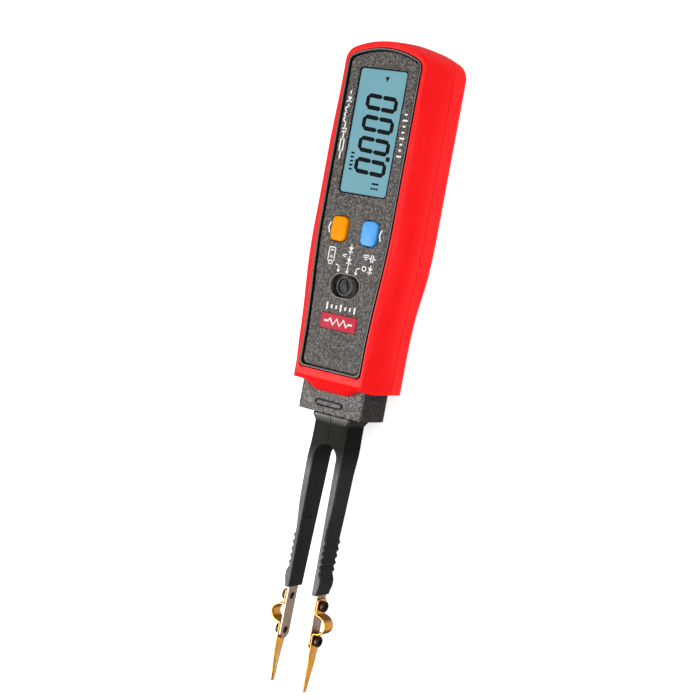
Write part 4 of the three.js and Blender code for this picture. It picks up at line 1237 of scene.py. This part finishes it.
KEPT = (
    (WHITE_PLASTIC, "display_holder"),
    (RUBBER_PINK, "zebra_strip_left", "zebra_strip_right"),
    (BLACK_PLASTIC, "tact_switch_orange", "tact_switch_blue", "measuring_chip", "signal_chip", "buzzer",
     "tang_clamp"),
    (STEEL, "slide_switch", "crystal_can", "coin_cell"),
    (BOARD_GREEN, "main_board"),
    (BRASS, "cell_contact_negative", "cell_contact_positive", "input_strip_left", "input_strip_right"),
)
for material, *names in KEPT:
    for name in names:
        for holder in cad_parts[name].material_slots:
            holder.material = material


# ---------------------------------------------------------------- floor, light and camera

def floor():
    """A pale floor, slightly luminous so that it stays white, and left out of reflections."""
    mesh = bpy.data.meshes.new("floor")
    reach, drop = 6.0, 0.0003
    mesh.from_pydata([(x * reach, y * reach, -drop) for x, y in ((-1, -1), (1, -1), (1, 1), (-1, 1))], [],
                     [(0, 1, 2, 3)])
    surface = finish("pale_floor", (0.9, 0.9, 0.9), rough=0.75, tone=0.006, tone_size=60, grain=0,
                     specular=0.2)
    shader = surface.node_tree.nodes["Principled BSDF"]
    shader.inputs["Emission Color"].default_value = (1, 1, 1, 1)
    shader.inputs["Emission Strength"].default_value = 0.62
    mesh.materials.append(surface)
    obj = linked("floor", mesh)
    obj.visible_glossy = False
    obj.visible_shadow = False


def softbox(name, place, aim, size, power):
    data = bpy.data.lights.new(name, "AREA")
    data.shape = "RECTANGLE"
    data.size, data.size_y = size
    data.energy = power
    obj = linked(name, data)
    obj.location = place
    obj.rotation_euler = (Vector(aim) - Vector(place)).to_track_quat("-Z", "Y").to_euler()
    return obj


def camera():
    data = bpy.data.cameras.new("camera")
    data.lens = 77.14
    data.sensor_width = 36
    data.clip_start = 0.01
    obj = linked("camera", data)
    forward = Vector((-0.0767, 0.5389, -0.8389)).normalized()
    right = forward.cross(Vector((0.9807, 0.1927, 0.0342))).normalized()
    turn = Matrix((right, right.cross(forward), -forward)).transposed()
    obj.matrix_world = Matrix.Translation(Vector((37.5, -223.0, 357.9)) * MM) @ turn.to_4x4()
    bpy.context.scene.camera = obj


floor()
softbox("key", (-0.25, 0.62, 0.95), (0, 0, 0), (0.8, 0.6), 11.0)
softbox("fill", (0.25, -0.75, 0.85), (0, 0, 0), (0.9, 0.7), 7.5)
glow = softbox("metal glow", (-0.075, -0.3, -0.42), (-0.075, 0, 0.01), (0.6, 0.5), 0.66)
glow.light_linking.receiver_collection = bpy.data.collections.new("metal")
for part in metal:
    glow.light_linking.receiver_collection.objects.link(part)
world = bpy.data.worlds.new("studio")
bpy.context.scene.world = world
world.use_nodes = True
background = world.node_tree.nodes["Background"]
background.inputs["Color"].default_value = (1, 1, 1, 1)
background.inputs["Strength"].default_value = 0.2
bpy.context.scene.view_settings.view_transform = "Standard"
camera()
